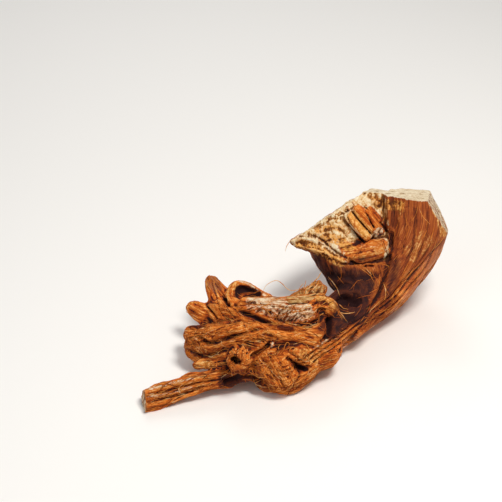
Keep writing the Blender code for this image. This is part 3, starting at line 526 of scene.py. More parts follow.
def join(obj, other):  # adds the other object's bodies to the object's mesh, to be fused with it
    shape = bmesh.new()
    shape.from_mesh(obj.data)
    shape.from_mesh(other.data)
    shape.to_mesh(obj.data)
    shape.free()
    bpy.data.objects.remove(other)


def planeAxes(faces):  # turns x to the right along a plane, y up along it and z the way it faces
    z = Vector(faces).normalized()
    x = Vector((0, 1, 0)).cross(z) if abs(z.y) < 0.6 else Vector((0, 0, 1)).cross(z)
    x.normalize()
    return Matrix((x, z.cross(x), z)).transposed().to_4x4()


def slab(name, at, faces, left=60, right=60, down=60, up=60, thick=60, roughness=0.0, squares=30):
    shape = bmesh.new()  # a cutter that clears what lies above a plane, up to its thickness
    bmesh.ops.create_grid(shape, x_segments=squares, y_segments=squares, size=0.5)
    flat = np.array([v.co for v in shape.verts]) + (0.5, 0.5, 0)
    flat = flat * (left + right, down + up, 0) - (left, down, 0)
    unevenness = roughness * (swells(flat / 4, 3) + 0.6 * swells(flat / 1.7, 4))
    for v, place, height in zip(shape.verts, flat, unevenness):
        v.co = (place[0], place[1], height)
    raised = bmesh.ops.extrude_face_region(shape, geom=shape.faces[:])
    for v in [g for g in raised["geom"] if isinstance(g, bmesh.types.BMVert)]:
        v.co.z = thick
    shape.transform(Matrix.Translation(at) @ planeAxes(faces))
    return newObject(name, shape)


def rowsOf(mesh, what):
    rows = np.empty(len(mesh.vertices) * 3)
    mesh.vertices.foreach_get(what, rows)
    return rows.reshape(-1, 3)


def seen(points):  # where the eye sees points: across and up, at the distance of lookedAt
    off = points - np.array(eye)
    scale = (lookedAt - eye).length / (off @ np.array(forward))
    return np.stack([off @ np.array(rightward) * scale, off @ np.array(upward) * scale], axis=1)


def foldHeight(view, route, height, left, right):  # a fold at each place in the eye's view
    line = through(route, 0.7)
    reach = max(left, right)
    near = ((view > line.min(0) - reach) & (view < line.max(0) + reach)).all(axis=1)
    gaps = np.linalg.norm(view[near][:, None] - line[None], axis=2)
    nearest = gaps.argmin(axis=1)
    course = unit(np.gradient(line, axis=0))[nearest]
    off = view[near] - line[nearest]
    side = course[:, 0] * off[:, 1] - course[:, 1] * off[:, 0]
    distance = gaps.min(axis=1) / np.where(side > 0, left, right)
    place = nearest / (len(line) - 1)
    ends = rise(place, -0.05, 0.12) * rise(1 - place, -0.05, 0.12)
    total = np.zeros(len(view))
    total[near] = height * ends * (1 - rise(distance, 0, 1))
    return total


def wrinkleHeight(places, spacing, height, seed):  # rounded ridges with sharp furrows between them
    run, sides = places[:, :1], places[:, 1:]
    sway = 0.8 * swells(np.hstack([run / 17, sides / 14]), seed)[:, None]
    coarse = np.abs(swells(np.hstack([run / 24, sides / spacing * 0.55 + sway]), seed + 1))
    fine = np.abs(swells(np.hstack([run / 12, sides / spacing * 1.2 + sway]), seed + 2))
    lumps = swells(np.hstack([run / 13, sides / 10]), seed + 3)
    return height * (2.4 * coarse + 1.2 * fine - 0.9 + 0.8 * lumps)


def fibreHeight(places, spacing, height, seed):  # thin raised fibres, with pits and breaks between them
    run, sides = places[:, :1], places[:, 1:]
    sway = 0.9 * swells(np.hstack([run / 8, sides / 6]), seed + 4)[:, None]
    strands = 0.5 - np.abs(swells(np.hstack([run / 9, sides / spacing * 0.8 + sway]), seed + 5))
    hairs = 0.5 - np.abs(swells(np.hstack([run / 5, sides / spacing * 1.5 + sway]), seed + 6))
    pits = np.minimum(swells(np.hstack([run / 2.6, sides / 1.5]), seed + 7) + 0.25, 0)
    return height * (1.5 * strands + 0.8 * hairs + 1.6 * pits)


def barkHeight(places, wrinkle, fibre, seed):
    return wrinkleHeight(places, *wrinkle, seed) + fibreHeight(places, *fibre, seed)


def crustHeight(points):  # broken plates and crumbs, with no grain
    plates = np.abs(swells(points / (2.0, 2.4, 4.2), 601))
    plates += 0.6 * np.abs(swells(points / (1.0, 1.3, 2.4), 602))
    cracks = rise(np.abs(swells(points / (2.6, 3.4, 5) + 0.4, 603)), 0.0, 0.16)
    return 1.5 * plates - 0.7 + 0.5 * (cracks - 1) + 0.5 * swells(points / 0.75, 604)


def torn(height, steps):  # the height as torn layers, flat with steep edges between them
    layer = np.floor(height * steps)
    return (layer + rise(height * steps - layer, 0.1, 1.0) - 0.5) / steps


class Skin:  # what the limbs say about a set of points on the skin
    def __init__(self, limbs, points, normals):
        self.limbs = limbs
        self.points = points
        self.normals = normals
        distances, self.places, self.courses = zip(*[limb.straightened(points) for limb in limbs])
        distances = np.array(distances)
        share = np.exp(np.minimum(distances.min(axis=0) - distances, 0) / skin["blend"])
        self.share = share / share.sum(axis=0)
        self.owner = self.share.argmax(axis=0)
        self.view = seen(points)
        toEye = unit(np.array(eye) - points)
        self.facing = rise((normals * toEye).sum(axis=1), 0.0, 0.3)
        self.patches = []  # how far each point is in each patch, and its place along that patch's grain
        for names, route, width, way, _, _ in patches:
            spread = rise(foldHeight(self.view, route, 1.0, width, width), 0.1, 0.5)
            share = self.facing * self.on(names) * spread
            along, across = self.view @ np.array(way), self.view @ np.array((-way[1], way[0]))
            self.patches.append((share, np.stack([along, across, np.zeros(len(points))], axis=1)))

    def on(self, names):  # how far each point belongs to the limbs whose names start so
        starts = tuple(names.split()) or anyLimb
        return sum(share for share, limb in zip(self.share, self.limbs) if limb.name.startswith(starts))

    def broken(self, least=0.75, most=0.92, depth=1.5):  # how far on the broken face, and the place along it
        flat = (self.points - np.array(breakAt)) @ np.array(planeAxes(breakFaces).to_3x3().inverted()).T
        facing = rise(self.normals @ np.array(breakFaces), least, most)
        near = 1 - rise(np.abs(flat[:, 2]), depth, depth + 2)
        near = near * rise(flat[:, 1], -breakReach["down"], 2 - breakReach["down"])
        near = near * rise(self.points[:, 0], -7, -4) * (self.points[:, 0] < breakEdge)
        return facing * near, flat

    def onPlane(self, at, faces, depth):  # how far each point is on a flat cut
        faces = np.array(Vector(faces).normalized())
        off = np.abs((self.points - np.array(at)) @ faces)
        return (1 - rise(off, depth, 2 * depth)) * rise(self.normals @ faces, 0.6, 0.8)

    def relief(self):  # the wrinkles, fibres, folds and marks, in millimetres
        height = np.zeros(len(self.points))
        for share, places, limb in zip(self.share, self.places, self.limbs):
            on = share > 0.03
            height[on] += share[on] * barkHeight(places[on], limb.wrinkle, limb.fibre, limb.seed)
        for k, (share, places) in enumerate(self.patches):
            on = share > 0.01
            height[on] += share[on] * (barkHeight(places[on], *patches[k][4:], 900 + k) - height[on])
        broken, flat = self.broken()
        broken = broken * (1 - self.on(" ".join(splinters)))
        rough = torn(swells(flat / breakLumps, 501) + 0.5 * swells(flat / breakChips, 502), 1.6)
        crumbs = 0.3 * swells(flat / (0.9, 1.5, 1.0), 503) + 0.25 * swells(flat / (0.6, 0.8, 0.7), 505)
        crumbs -= 0.5 * rise(swells(flat / (1.5, 1.7, 1.5), 504), 0.35, 0.7)
        height = height * (1 - broken) + broken * (breakRoughness * rough + crumbs)
        for names, route, fold, left, right in folds + marks:
            height += self.facing * self.on(names) * foldHeight(self.view, route, fold, left, right)
        for names, route, width, raised in crusts:
            spread = self.on(names) * foldHeight(self.view, route, raised, width, width)
            on = spread > 0.01
            height[on] += spread[on] * crustHeight(self.points[on])
        for strand in range(rope["strands"] - 1):
            between = [Vector(place) + rope["spread"] * (strand + 0.5) for place in rope["line"][1:]]
            crease = foldHeight(self.view, seen(np.array(between)), -rope["crease"], 0.6, 0.6)
            height += self.facing * self.on("rope trunk crown") * crease
        for names, at, raised, radius in spots:
            distance = np.linalg.norm(self.view - np.array(at), axis=1) / radius
            height += self.facing * self.on(names) * raised * (1 - rise(distance, 0.2, 1))
        return height


def makeRoot():
    body = [Limb(name, *row) for name, row in limbTable.items()] + ropeLimbs()
    shards = [Limb(name, *row) for name, row in splinters.items()]
    root = lofts("root_skin", body)
    fuse(root, skin["firstVoxel"], skin["firstRounds"])
    cutAway(root, slab("break", breakAt, breakFaces, **breakReach))
    cutAway(root, slab("back_break", **backBreak))
    for name, (face, stations) in hollows.items():
        cutAway(root, lofts(name, [Limb(name, face, None, None, 0, stations)], skin["hollowSides"]))
    join(root, lofts("splinters", shards))
    fuse(root, skin["voxel"], skin["rounds"])
    points, normals = rowsOf(root.data, "co") / millimetre, rowsOf(root.data, "normal")
    points += normals * Skin(body + shards, points, normals).relief()[:, None]
    root.data.vertices.foreach_set("co", (points * millimetre).ravel())
    root.data.update()
    ratio = skin["triangles"] / (2 * len(root.data.polygons))
    modify(root, "DECIMATE", use_collapse_triangulate=True, ratio=ratio)
    for name, data in cuts.items():
        cutAway(root, slab(name, roughness=skin["cutRoughness"], squares=skin["cutSquares"], **data))
    cutAway(root, slab("bench", **bench))
    return root, body + shards


# Paint, as the eye sees it: the limbs, the route, the half width and the strength. Bark is where the break
# shows no pith.
paint = {
    "bark": [
        (anyLimb, [(46, 17), (48, 14.5), (51, 11), (54, 7)], 4.2, 1.0),
        (anyLimb, [(43, 4.6), (48, 3.6), (54, 3)], 2.6, 0.9),
        (anyLimb, [(38, -3.6), (42, -2), (47, -1.4), (54, -1)], 4.0, 1.0),
        ("chunk", [(33, -3), (42, -1), (54, 1)], 7, 1.0),
        (anyLimb, [(17, 0.2), (22, 0.4), (27, -1.8), (32, -4.6), (38, -8), (50, -10)], 3.2, 1.0),
    ],
    "pale": [
        ("scroll",
         [(-2.4, -20.8), (2, -21.4), (8, -23.6), (14.4, -25.6), (20.4, -25.4), (25, -22.6)], 6.4, 0.9),
        ("stem_rim", [(-5, -12), (-2.8, -11.9), (-0.2, -13), (2.6, -15), (5, -16.9), (7, -18.4)], 1.5, 1.0),
        (anyLimb, [(16, 4.6), (20.8, 5.8), (25.2, 5.2), (28.6, 3), (32, 0.4), (35.2, -1.6)], 1.0, 0.7),
        (anyLimb, [(49.6, 6), (51.6, 8), (53.6, 8)], 1.8, 0.9),
        (anyLimb, [(8, -37.4), (9.6, -37.9)], 1.9, 1.0),
        # A painted highlight: a pale line along the upper edge of the rope.
        ("trunk rope crown", [(25, -39.2), (28.4, -37.4), (31.4, -35.4)], 0.9, 0.9),
        ("lobe_left", [(-25, -25), (-22.6, -25.6), (-20.4, -26.8)], 1.6, 0.4),
        ("scroll", [(4, -19), (10, -20), (15, -21)], 3.0, 0.8),
        ("side", [(-41, -55.5), (-32.5, -53.3), (-21.5, -50.8)], 1.0, 0.9),
        ("side", [(-42, -58.6), (-32.5, -56.8), (-22.5, -54.4)], 0.9, 0.9),
    ],
    "gold": [
        ("stem_rim", [(-5.6, -20), (-7.4, -17.4), (-7, -14.4), (-5, -12.4)], 3.0, 1.0),
        ("scroll", [(26, -19.5), (29.5, -18.5), (32.5, -20.5), (33.5, -24)], 2.8, 1.0),
        (anyLimb, [(27.6, 3), (30, 4.8), (34, 4.6), (38, 2.4), (41, 0)], 3.0, 0.85),
        (anyLimb, [(26, 7), (30, 8.8), (34, 9.2), (38, 7.6)], 2.0, 0.75),
        (anyLimb, [(18, 3), (22, 2.4), (26, 0.8), (30, -1.4), (35, -4.2), (38, -6)], 3.0, 1.0),
        ("long upper", [(39.6, 15.2), (42.4, 12), (45.2, 8.8), (48, 5.6)], 4.0, 1.0),
        ("chunk", [(36, -3), (42.8, -1.6), (46.8, -0.4), (53, 0.4)], 6, 0.6),
        ("flake", [(-23, -47), (-18, -46.2), (-13.6, -45.2)], 3.0, 1.0),
        ("crown trunk", [(19.4, -41), (23.6, -42), (28, -43.4)], 3.8, 0.95),
        ("lobe_base", [(-13, -20), (-9.6, -22.6), (-5, -26.6)], 3.4, 0.55),
        ("trunk", [(62, -3), (66, 0.4), (69.2, 3.4), (72, 7)], 6, 0.46),
        ("trunk", [(72, 21), (75.5, 15), (77.5, 9), (78, 5)], 3.4, 0.62),
        ("trunk", [(53, 17), (57.5, 16), (61, 14)], 4.4, 0.5),
        ("trunk shoulder", [(41, 19), (47, 20), (54, 18.6), (62, 17.6)], 3.2, 0.85),
    ],
    "olive": [
        ("scroll_back scroll", [(14, -18.6), (19, -18), (23, -16.6), (27, -14), (28.4, -10)], 5.5, 1.0),
        ("scroll_knob", [(27.5, -21), (29, -24), (29, -26.5)], 2.4, 0.7),
    ],
    # Dusky purple-brown: its own colour on the top of lobe_up, and painted shade under the scroll and over
    # the crown's left end and lower left.
    "dusky": [
        ("crown fold", [(-27, -34), (-25, -38), (-21, -43)], 1.8, 0.8),
        ("scroll", [(0, -24.4), (6, -26.8), (12, -29)], 2.0, 0.9),
        ("crown", [(-2.6, -41.6), (0, -45.6), (3, -50.4), (6.6, -55)], 4.2, 0.8),
        ("lobe_up", [(-17, -9), (-14, -14), (-12, -17)], 3.4, 1.0),
    ],
    # Painted shade: darkening laid where shade falls, under the broken rim, the chunk and the stump, in the
    # groove, the creases and the crevice under the scroll, round the knob, in the stem's hollow and in the
    # cavity by the side root.
    "dark": [
        (anyLimb, [(24, 6.4), (27.6, 5.2), (30, 3.4), (33, 0.6), (36, -1.6), (39, -3.6)], 0.6, 0.6),
        ("chunk", [(36, -6), (43, -4.4), (54, -3.4)], 2.6, 0.6),
        ("shoulder trunk heel",
         [(19.6, -6), (25.6, -11), (31.6, -16), (37.6, -19.4), (43, -22), (48, -22)], 12, 1.0),
        ("shoulder trunk", [(30, -10), (40, -12), (50, -14)], 8, 1.0),
        ("trunk crown scroll shoulder",
         [(38, -17), (38.5, -23), (36, -28), (32.4, -31), (30, -35.5)], 6.5, 1.0),
        ("crown", [(-17.4, -40.6), (-13.4, -40.4), (-9.6, -39.2)], 2.4, 0.6),
        ("crown side stub flake", [(-13, -53), (-5, -51.5), (1, -52.5), (5, -54.5)], 5.0, 1.0),
        ("crown lobe", [(-27, -29.4), (-22.5, -30.6), (-17, -30.8)], 1.6, 0.9),
        ("stem", [(-3, -17.6), (-1.6, -15.6), (2, -17), (4.4, -18.6)], 2.4, 1.0),
        ("trunk", [(54, 10), (55, 3), (55, -4)], 3.6, 0.45),
        ("trunk", [(54.6, -2), (54.6, -8), (54, -13), (52, -18)], 8, 0.74),
        ("trunk heel", [(54, -14), (51, -19), (47, -24), (41, -29)], 10, 1.0),
        (anyLimb, [(-4, -24.4), (1, -26.2), (7, -28.6), (13, -30.8), (18, -31.2)], 1.5, 0.9),
        ("scroll_knob scroll", [(28, -23.6), (28.8, -25.4), (29.4, -27.4)], 2.2, 0.8),
        ("scroll_knob scroll", [(26.4, -25.6), (28.4, -27.2), (31.6, -26.6), (33.6, -25)], 2.2, 0.5),
        ("crown trunk", [(17, -44.2), (19.6, -46.6), (20, -48.4)], 2.4, 0.95),
        ("crown trunk", [(19.6, -46.6), (23, -47.4)], 1.8, 0.95),
        ("crown", [(-2, -46), (1, -49), (4, -52.5), (8, -56)], 4.0, 0.75),
        ("crown", [(-10, -41), (-4, -37.6), (0, -36.4), (4, -36.6)], 1.8, 0.55),
    ],
}


def painted(what, points):  # how strongly one paint lies on each point
    total = np.zeros(len(points.points))
    for names, route, width, strength in paint[what]:
        spread = foldHeight(points.view, route, 1.0, width, width)
        total = np.maximum(total, strength * points.facing * points.on(names) * rise(spread, 0, 0.5))
    return total


def hollowness(mesh, points, normals, rounds):  # how far each point lies below its surroundings, in mm
    edges = np.empty(len(mesh.edges) * 2, int)
    mesh.edges.foreach_get("vertices", edges)
    a, b = edges.reshape(-1, 2).T
    count = np.bincount(a, minlength=len(points)) + np.bincount(b, minlength=len(points))
    even = points.copy()
    for _ in range(rounds):
        sums = [
            np.bincount(a, even[b, axis], len(points)) + np.bincount(b, even[a, axis], len(points))
            for axis in range(3)
        ]
        even = np.stack(sums, axis=1) / count[:, None]
    return ((even - points) * normals).sum(axis=1)


def setAttribute(mesh, name, values, kind="FLOAT", domain="POINT"):
    made = mesh.attributes.new(name, kind, domain)
    made.data.foreach_set("vector" if kind == "FLOAT_VECTOR" else "value", np.ravel(values))


def markRoot(root, limbs):  # stores on the skin what its finish needs
    mesh = root.data
    points, normals = rowsOf(mesh, "co") / millimetre, rowsOf(mesh, "normal")
    of = Skin(limbs, points, normals)
    loopCount = len(mesh.loops)
    vertexOf = np.empty(loopCount, int)
    mesh.loops.foreach_get("vertex_index", vertexOf)
    starts = np.empty(len(mesh.polygons), int)
    mesh.polygons.foreach_get("loop_start", starts)
    sizes = np.diff(np.append(starts, loopCount))
    limbOf = np.repeat(of.owner[vertexOf[starts]], sizes)
    grain = np.stack(of.places)[limbOf, vertexOf]
    grain[:, 1] += skin["grainShift"] * limbOf
    for k, (share, places) in enumerate(of.patches):
        inside = np.repeat(share[vertexOf[starts]] > 0.5, sizes)
        grain[inside] = places[vertexOf[inside]] + (0, skin["grainShift"] * (len(limbs) + k), 0)
    setAttribute(mesh, "grain", grain, "FLOAT_VECTOR", "CORNER")

    cut = np.maximum.reduce([
        of.onPlane(data["at"], data["faces"], 0.5) * cutBareness.get(name, 1.0) for name, data in cuts.items()
    ])
    back = of.onPlane(backBreak["at"], backBreak["faces"], 1.2)
    back = back * (points[:, 0] < backBreakEnds["right"]) * (points[:, 2] > backBreakEnds["bottom"])
    broken = np.maximum(of.broken(-0.1, 0.35, 2.4)[0], back)
    setAttribute(mesh, "cut", cut)
    setAttribute(mesh, "broken", broken * (1 - cut) * (1 - painted("bark", of)))
    for what in ("dusky", "olive", "gold", "pale", "dark"):
        setAttribute(mesh, what, painted(what, of))
    # The crease and hollow measures feed the finish's painted shade in creases and hollows and its painted
    # highlight on ridges.
    setAttribute(mesh, "crease", hollowness(mesh, points, normals, skin["creaseRounds"]))
    setAttribute(mesh, "hollow", hollowness(mesh, points, normals, skin["hollowRounds"]))
    setAttribute(mesh, "strand", of.on("rope"))
    setAttribute(mesh, "stump", of.on(stumpLimbs) * rise(points[:, 2], *skin["stumpFrom"]))
    return of, cut


class Wire:  # a socket that can stand in sums
    def __init__(self, finish, socket):
        self.finish = finish
        self.socket = socket

    def maths(self, operation, *values):
        return self.finish.node("ShaderNodeMath", {"operation": operation}, dict(enumerate(values)))

    def __add__(self, other):
        return self.maths("ADD", self, other)

    def __sub__(self, other):
        return self.maths("SUBTRACT", self, other)

    def __rsub__(self, other):
        return self.maths("SUBTRACT", other, self)

    def __mul__(self, other):
        return self.maths("MULTIPLY", self, other)

    def atLeast(self, other):
        return self.maths("MAXIMUM", self, other)

    def between(self, low, high):  # from 0 at low to 1 at high, in a smooth S
        ranged = {"Value": self, "From Min": low, "From Max": high}
        return self.finish.node("ShaderNodeMapRange", {"interpolation_type": "SMOOTHSTEP"}, ranged)

    __radd__ = __add__
    __rmul__ = __mul__


class Finish:  # a material, with the nodes that colour it
    def __init__(self, name):
        self.material = bpy.data.materials.new(name)
        self.material.use_nodes = True
        self.tree = self.material.node_tree
        self.shader = self.tree.nodes["Principled BSDF"]

    def feed(self, socket, value):
        if isinstance(value, Wire):
            self.tree.links.new(value.socket, socket)
        else:
            socket.default_value = value

    def node(self, kind, settings=None, values=None, output=0):
        made = self.tree.nodes.new(kind)
        for name, setting in (settings or {}).items():
            if name == "stops":
                while len(made.color_ramp.elements) < len(setting):
                    made.color_ramp.elements.new(0.5)
                for element, (at, colour) in zip(made.color_ramp.elements, setting):
                    element.position = at
                    element.color = (*colour, 1)
            else:
                setattr(made, name, setting)
        for name, value in (values or {}).items():
            self.feed(made.inputs[name], value)
        return Wire(self, made.outputs[output])

    def attribute(self, name, output="Fac"):
        return self.node("ShaderNodeAttribute", {"attribute_name": name}, output=output)

    def noise(self, vector, scale, detail, roughness, warp=0.0):
        stretched = self.node("ShaderNodeVectorMath", {"operation": "MULTIPLY"}, {0: vector, 1: scale})
        values = {"Detail": detail, "Roughness": roughness, "Distortion": warp}
        return self.node("ShaderNodeTexNoise", None, {"Vector": stretched, "Scale": 1.0, **values})

    def ramp(self, factor, stops):
        return self.node("ShaderNodeValToRGB", {"stops": stops}, {"Fac": factor})

    def mix(self, factor, first, second):
        settings = {"data_type": "RGBA", "blend_type": "MIX", "clamp_factor": True}
        return self.node("ShaderNodeMix", settings, {0: factor, 6: first, 7: second}, output=2)

    def bump(self, height, distance, strength):
        values = {"Height": height, "Distance": distance * millimetre, "Strength": strength}
        return self.node("ShaderNodeBump", None, values)

    def done(self, values):
        for name, value in values.items():
            self.feed(self.shader.inputs[name], value)
        return self.material


barkLook = dict(
    colours=[
        (0.0, (0.018, 0.004, 0.004)), (0.22, (0.095, 0.014, 0.005)), (0.45, (0.320, 0.047, 0.006)),
        (0.66, (0.600, 0.122, 0.011)), (0.84, (0.780, 0.245, 0.032)), (1.0, (0.88, 0.47, 0.15)),
    ],
    stump=[
        (0.0, (0.030, 0.007, 0.005)), (0.25, (0.14, 0.027, 0.009)), (0.55, (0.33, 0.068, 0.014)),
        (0.8, (0.48, 0.135, 0.028)), (1.0, (0.70, 0.32, 0.11)),
    ],
    pith=[
        (0.0, (0.14, 0.045, 0.010)), (0.28, (0.48, 0.20, 0.05)), (0.5, (0.70, 0.43, 0.18)),
        (0.75, (0.82, 0.65, 0.40)), (1.0, (0.91, 0.81, 0.61)),
    ],
    sawn=[
        (0.0, (0.24, 0.12, 0.05)), (0.35, (0.58, 0.40, 0.22)), (0.7, (0.77, 0.63, 0.43)),
        (1.0, (0.90, 0.80, 0.62)),
    ],
    strand=(0.80, 0.44, 0.27),
    shade=(0.030, 0.009, 0.009),  # the near-black purple painted as shade in crevices, hollows and under overhangs
    specular=0.15,
)
# Each paint's look: the amounts at which it begins and is full, how far it follows the grain, how much of it
# covers the bark, and its colours.
paintLook = {
    "dusky": (0.4, 0.7, 0.0, 0.6, [(0.0, (0.20, 0.085, 0.06)), (1.0, (0.20, 0.085, 0.06))]),
    "olive": (0.35, 0.8, 0.0, 0.85, [
        (0.0, (0.045, 0.022, 0.006)), (0.4, (0.24, 0.13, 0.035)), (0.75, (0.46, 0.30, 0.11)),
        (1.0, (0.7, 0.52, 0.26)),
    ]),
    "gold": (0.3, 0.9, 0.5, 1.0, [
        (0.0, (0.12, 0.032, 0.006)), (0.4, (0.46, 0.16, 0.026)), (0.75, (0.72, 0.31, 0.06)),
        (1.0, (0.86, 0.52, 0.19)),
    ]),
    "pale": (0.3, 0.9, 0.3, 1.0, [
        (0.0, (0.09, 0.030, 0.012)), (0.3, (0.36, 0.17, 0.07)), (0.6, (0.62, 0.40, 0.22)),
        (1.0, (0.84, 0.68, 0.47)),
    ]),
}


def barkFinish():
    finish = Finish("dried bark")
    grain = finish.attribute("grain", "Vector")
    place = finish.node("ShaderNodeTexCoord", output="Object")
    hairs = finish.noise(grain, (0.16, 2.4, 2.4), 4, 0.6, 0.2).between(0.28, 0.72)
    strands = finish.noise(grain, (0.08, 0.9, 0.9), 3, 0.55, 0.3).between(0.3, 0.7)
    streaks = finish.noise(grain, (0.05, 3.2, 3.2), 3, 0.6).between(0.3, 0.7)
    flecks = finish.noise(place, (900, 900, 900), 3, 0.6).between(0.3, 0.72)
    patches = finish.noise(place, (110, 110, 110), 3, 0.5).between(0.3, 0.7)
    clumps = finish.noise(place, (330, 330, 330), 3, 0.6).between(0.35, 0.65)
    crumbs = finish.noise(place, (1300, 1300, 1300), 2, 0.6).between(0.3, 0.7)
    # Painted light from the skin's form: creases and wide hollows are painted darker as shade, and ridges
    # lighter, partly for the paler fibres that wear leaves on their crests and partly as painted highlight.
    crease = finish.attribute("crease")
    ridgeLight = (crease * -1.0).between(-0.02, 0.16)
    creaseShade = crease.between(0.0, 0.16)
    hollowShade = finish.attribute("hollow").between(0.1, 1.3)
    # The painted shade, which lowers the tone and is mixed towards the shade colour below.
    dark = finish.attribute("dark")
    strand = finish.attribute("strand")
    onStump = finish.attribute("stump")

    tone = hairs * 0.34 + strands * 0.24 + flecks * 0.18 + patches * 0.16 + ridgeLight * 0.26 - creaseShade * 0.36
    tone = tone - hollowShade * 0.30 - dark * 0.34 + strand * 0.10 + 0.06
    stumpTone = streaks * 0.44 + hairs * 0.34 + patches * 0.12 + ridgeLight * 0.12
    stumpTone = stumpTone - creaseShade * 0.18 - hollowShade * 0.12 + 0.03
    bark = finish.ramp(tone, barkLook["colours"])
    colour = finish.mix(onStump, bark, finish.ramp(stumpTone, barkLook["stump"]))
    # The rope's strands, painted lighter on their crests as a highlight, and not where shade is painted.
    strandTone = strand * (ridgeLight * 0.8 + streaks * 0.5 + 0.4) - dark
    colour = finish.mix(strandTone, colour, (*barkLook["strand"], 1))

    ragged = 0.42 + flecks * 0.6 + hairs * 0.55  # about 1, for edges that follow the specks and the grain
    pithTone = clumps * 0.24 + crumbs * 0.32 + ridgeLight * 0.2 + 0.25 - creaseShade * 0.32 - hollowShade * 0.2
    broken = (finish.attribute("broken") * (ragged + clumps * 0.6 - 0.3)).between(0.3, 0.55)
    colour = finish.mix(broken, colour, finish.ramp(pithTone, barkLook["pith"]))
    # The paints' tone: grain and specks, with painted shade in creases and hollows and a painted highlight on
    # ridges.
    paintTone = hairs * 0.35 + flecks * 0.35 + patches * 0.2 + 0.2 - creaseShade * 0.6 - hollowShade * 0.3 + ridgeLight * 0.15
    masks = {}
    for what, (low, high, grainy, strength, colours) in paintLook.items():
        masks[what] = (finish.attribute(what) * (ragged + (strands - 0.5) * grainy)).between(low, high)
        colour = finish.mix(masks[what] * strength, colour, finish.ramp(paintTone, colours))

    # The sawn wood's tone, painted darker in its grooves as shade.
    sawn = flecks * 0.3 + crumbs * 0.35 + patches * 0.25 + 0.22 - creaseShade * 0.5
    bare = streaks * 0.7 + strands * 0.5 + hairs * 0.3 + 0.5  # pale wood in streaks, where a cut grazes
    cut = (finish.attribute("cut") * bare).between(0.4, 0.6)
    colour = finish.mix(cut, colour, finish.ramp(sawn, barkLook["sawn"]))

    # Painted shade: the shade paint, the wide hollows and the creases mix the colour towards the near-black
    # purple shade colour. It is weaker on the stump and in the creases of pale bark, and ridges and hairs are
    # left a little lighter.
    plain = 1 - onStump * 0.7
    shaded = (dark * (1.0 - ridgeLight * 0.06 - hairs * 0.14)).atLeast(hollowShade * plain * 0.5)
    shaded = shaded + creaseShade * plain * 0.3 * (1 - masks["pale"] * 0.6)
    colour = finish.mix(shaded, colour, (*barkLook["shade"], 1))
    relief = hairs * 0.5 + flecks * 0.35 + crumbs * 0.25
    return finish.done({
        "Base Color": colour, "Roughness": 0.62 + hairs * 0.25 + broken * 0.1,
        "Normal": finish.bump(relief, 0.35, 0.8), "Specular IOR Level": barkLook["specular"],
    })


def shiftToOrigin(obj):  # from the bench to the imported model's place
    obj.data.transform(Matrix.Translation(benchToOrigin * millimetre))


root, limbs = makeRoot()
print("root skin:", len(root.data.polygons), "faces")
surface, cutShare = markRoot(root, limbs)
root.data.materials.clear()  # the cuts leave empty slots
root.data.polygons.foreach_set("material_index", np.zeros(len(root.data.polygons), int))
root.data.materials.append(barkFinish())
root.data.shade_smooth()
root.data.set_sharp_from_angle(angle=math.radians(skin["sharpFrom"]))
bvh = BVHTree.FromPolygons(surface.points.tolist(), [tuple(p.vertices) for p in root.data.polygons])
shiftToOrigin(root)
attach(root, "root")
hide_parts("marshmallow_root")
print("root skin: finished")

# Loose fibres lie along the bark, and many lift at one end.
fibres = dict(
    count=5200, seed=5, step=1.0, steps=(4, 11), halfWidth=(0.07, 0.19), thickness=0.6,
    lift=0.05, peel=0.25, stray=0.2, turn=0.06,
    stumpBare=0.85, stumpFrom=(14, 30),  # how much of the stump is left bare, from these heights up
    shadeBare=0.9,  # and of the places under painted shade
    lowest=1.0, tones=(2.2, 2.2),
)


def tube(line, outs, wide, thick, sides=4):  # the rings of a thin strip along a line, tapered to its ends
    line = np.array(line)
    course = unit(np.gradient(line, axis=0))
    outs = np.array(outs)
    outs = unit(outs - (outs * course).sum(axis=1)[:, None] * course)
    across = np.cross(course, outs)
    turn = np.arange(sides) * 2 * np.pi / sides
    taper = np.sin(np.linspace(0.12, np.pi - 0.12, len(line))) ** 0.6
    rings = []
    for i, at in enumerate(line):
        sideways = np.outer(np.cos(turn) * wide * taper[i], across[i])
        rings.append(at + sideways + np.outer(np.sin(turn) * thick * taper[i], outs[i]))
    return rings


def stripsObject(name, strips, tones):  # one object from the rings of many strips
    shape = bmesh.new()
    for rings in strips:
        loft(shape, rings)
    obj = newObject(name, shape)
    setAttribute(obj.data, "tone", np.repeat(tones, [len(rings) * len(rings[0]) for rings in strips]))
    obj.data.shade_smooth()
    shiftToOrigin(obj)
    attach(obj, "root")
    return obj


def fibreFinish():
    finish = Finish("loose fibre")
    tone = finish.attribute("tone")
    place = finish.node("ShaderNodeTexCoord", output="Object")
    patch = finish.noise(place, (400, 400, 400), 2, 0.5).between(0.3, 0.7)
    colour = finish.ramp(tone + (patch - 0.5) * 0.3, fibreLook["colours"])
    return finish.done({"Base Color": colour, "Roughness": 0.75, "Specular IOR Level": barkLook["specular"]})


fibreLook = dict(colours=[
    (0.0, (0.050, 0.010, 0.005)), (0.3, (0.29, 0.052, 0.007)), (0.6, (0.60, 0.165, 0.020)),
    (0.85, (0.72, 0.29, 0.055)), (1.0, (0.84, 0.54, 0.26)),
])


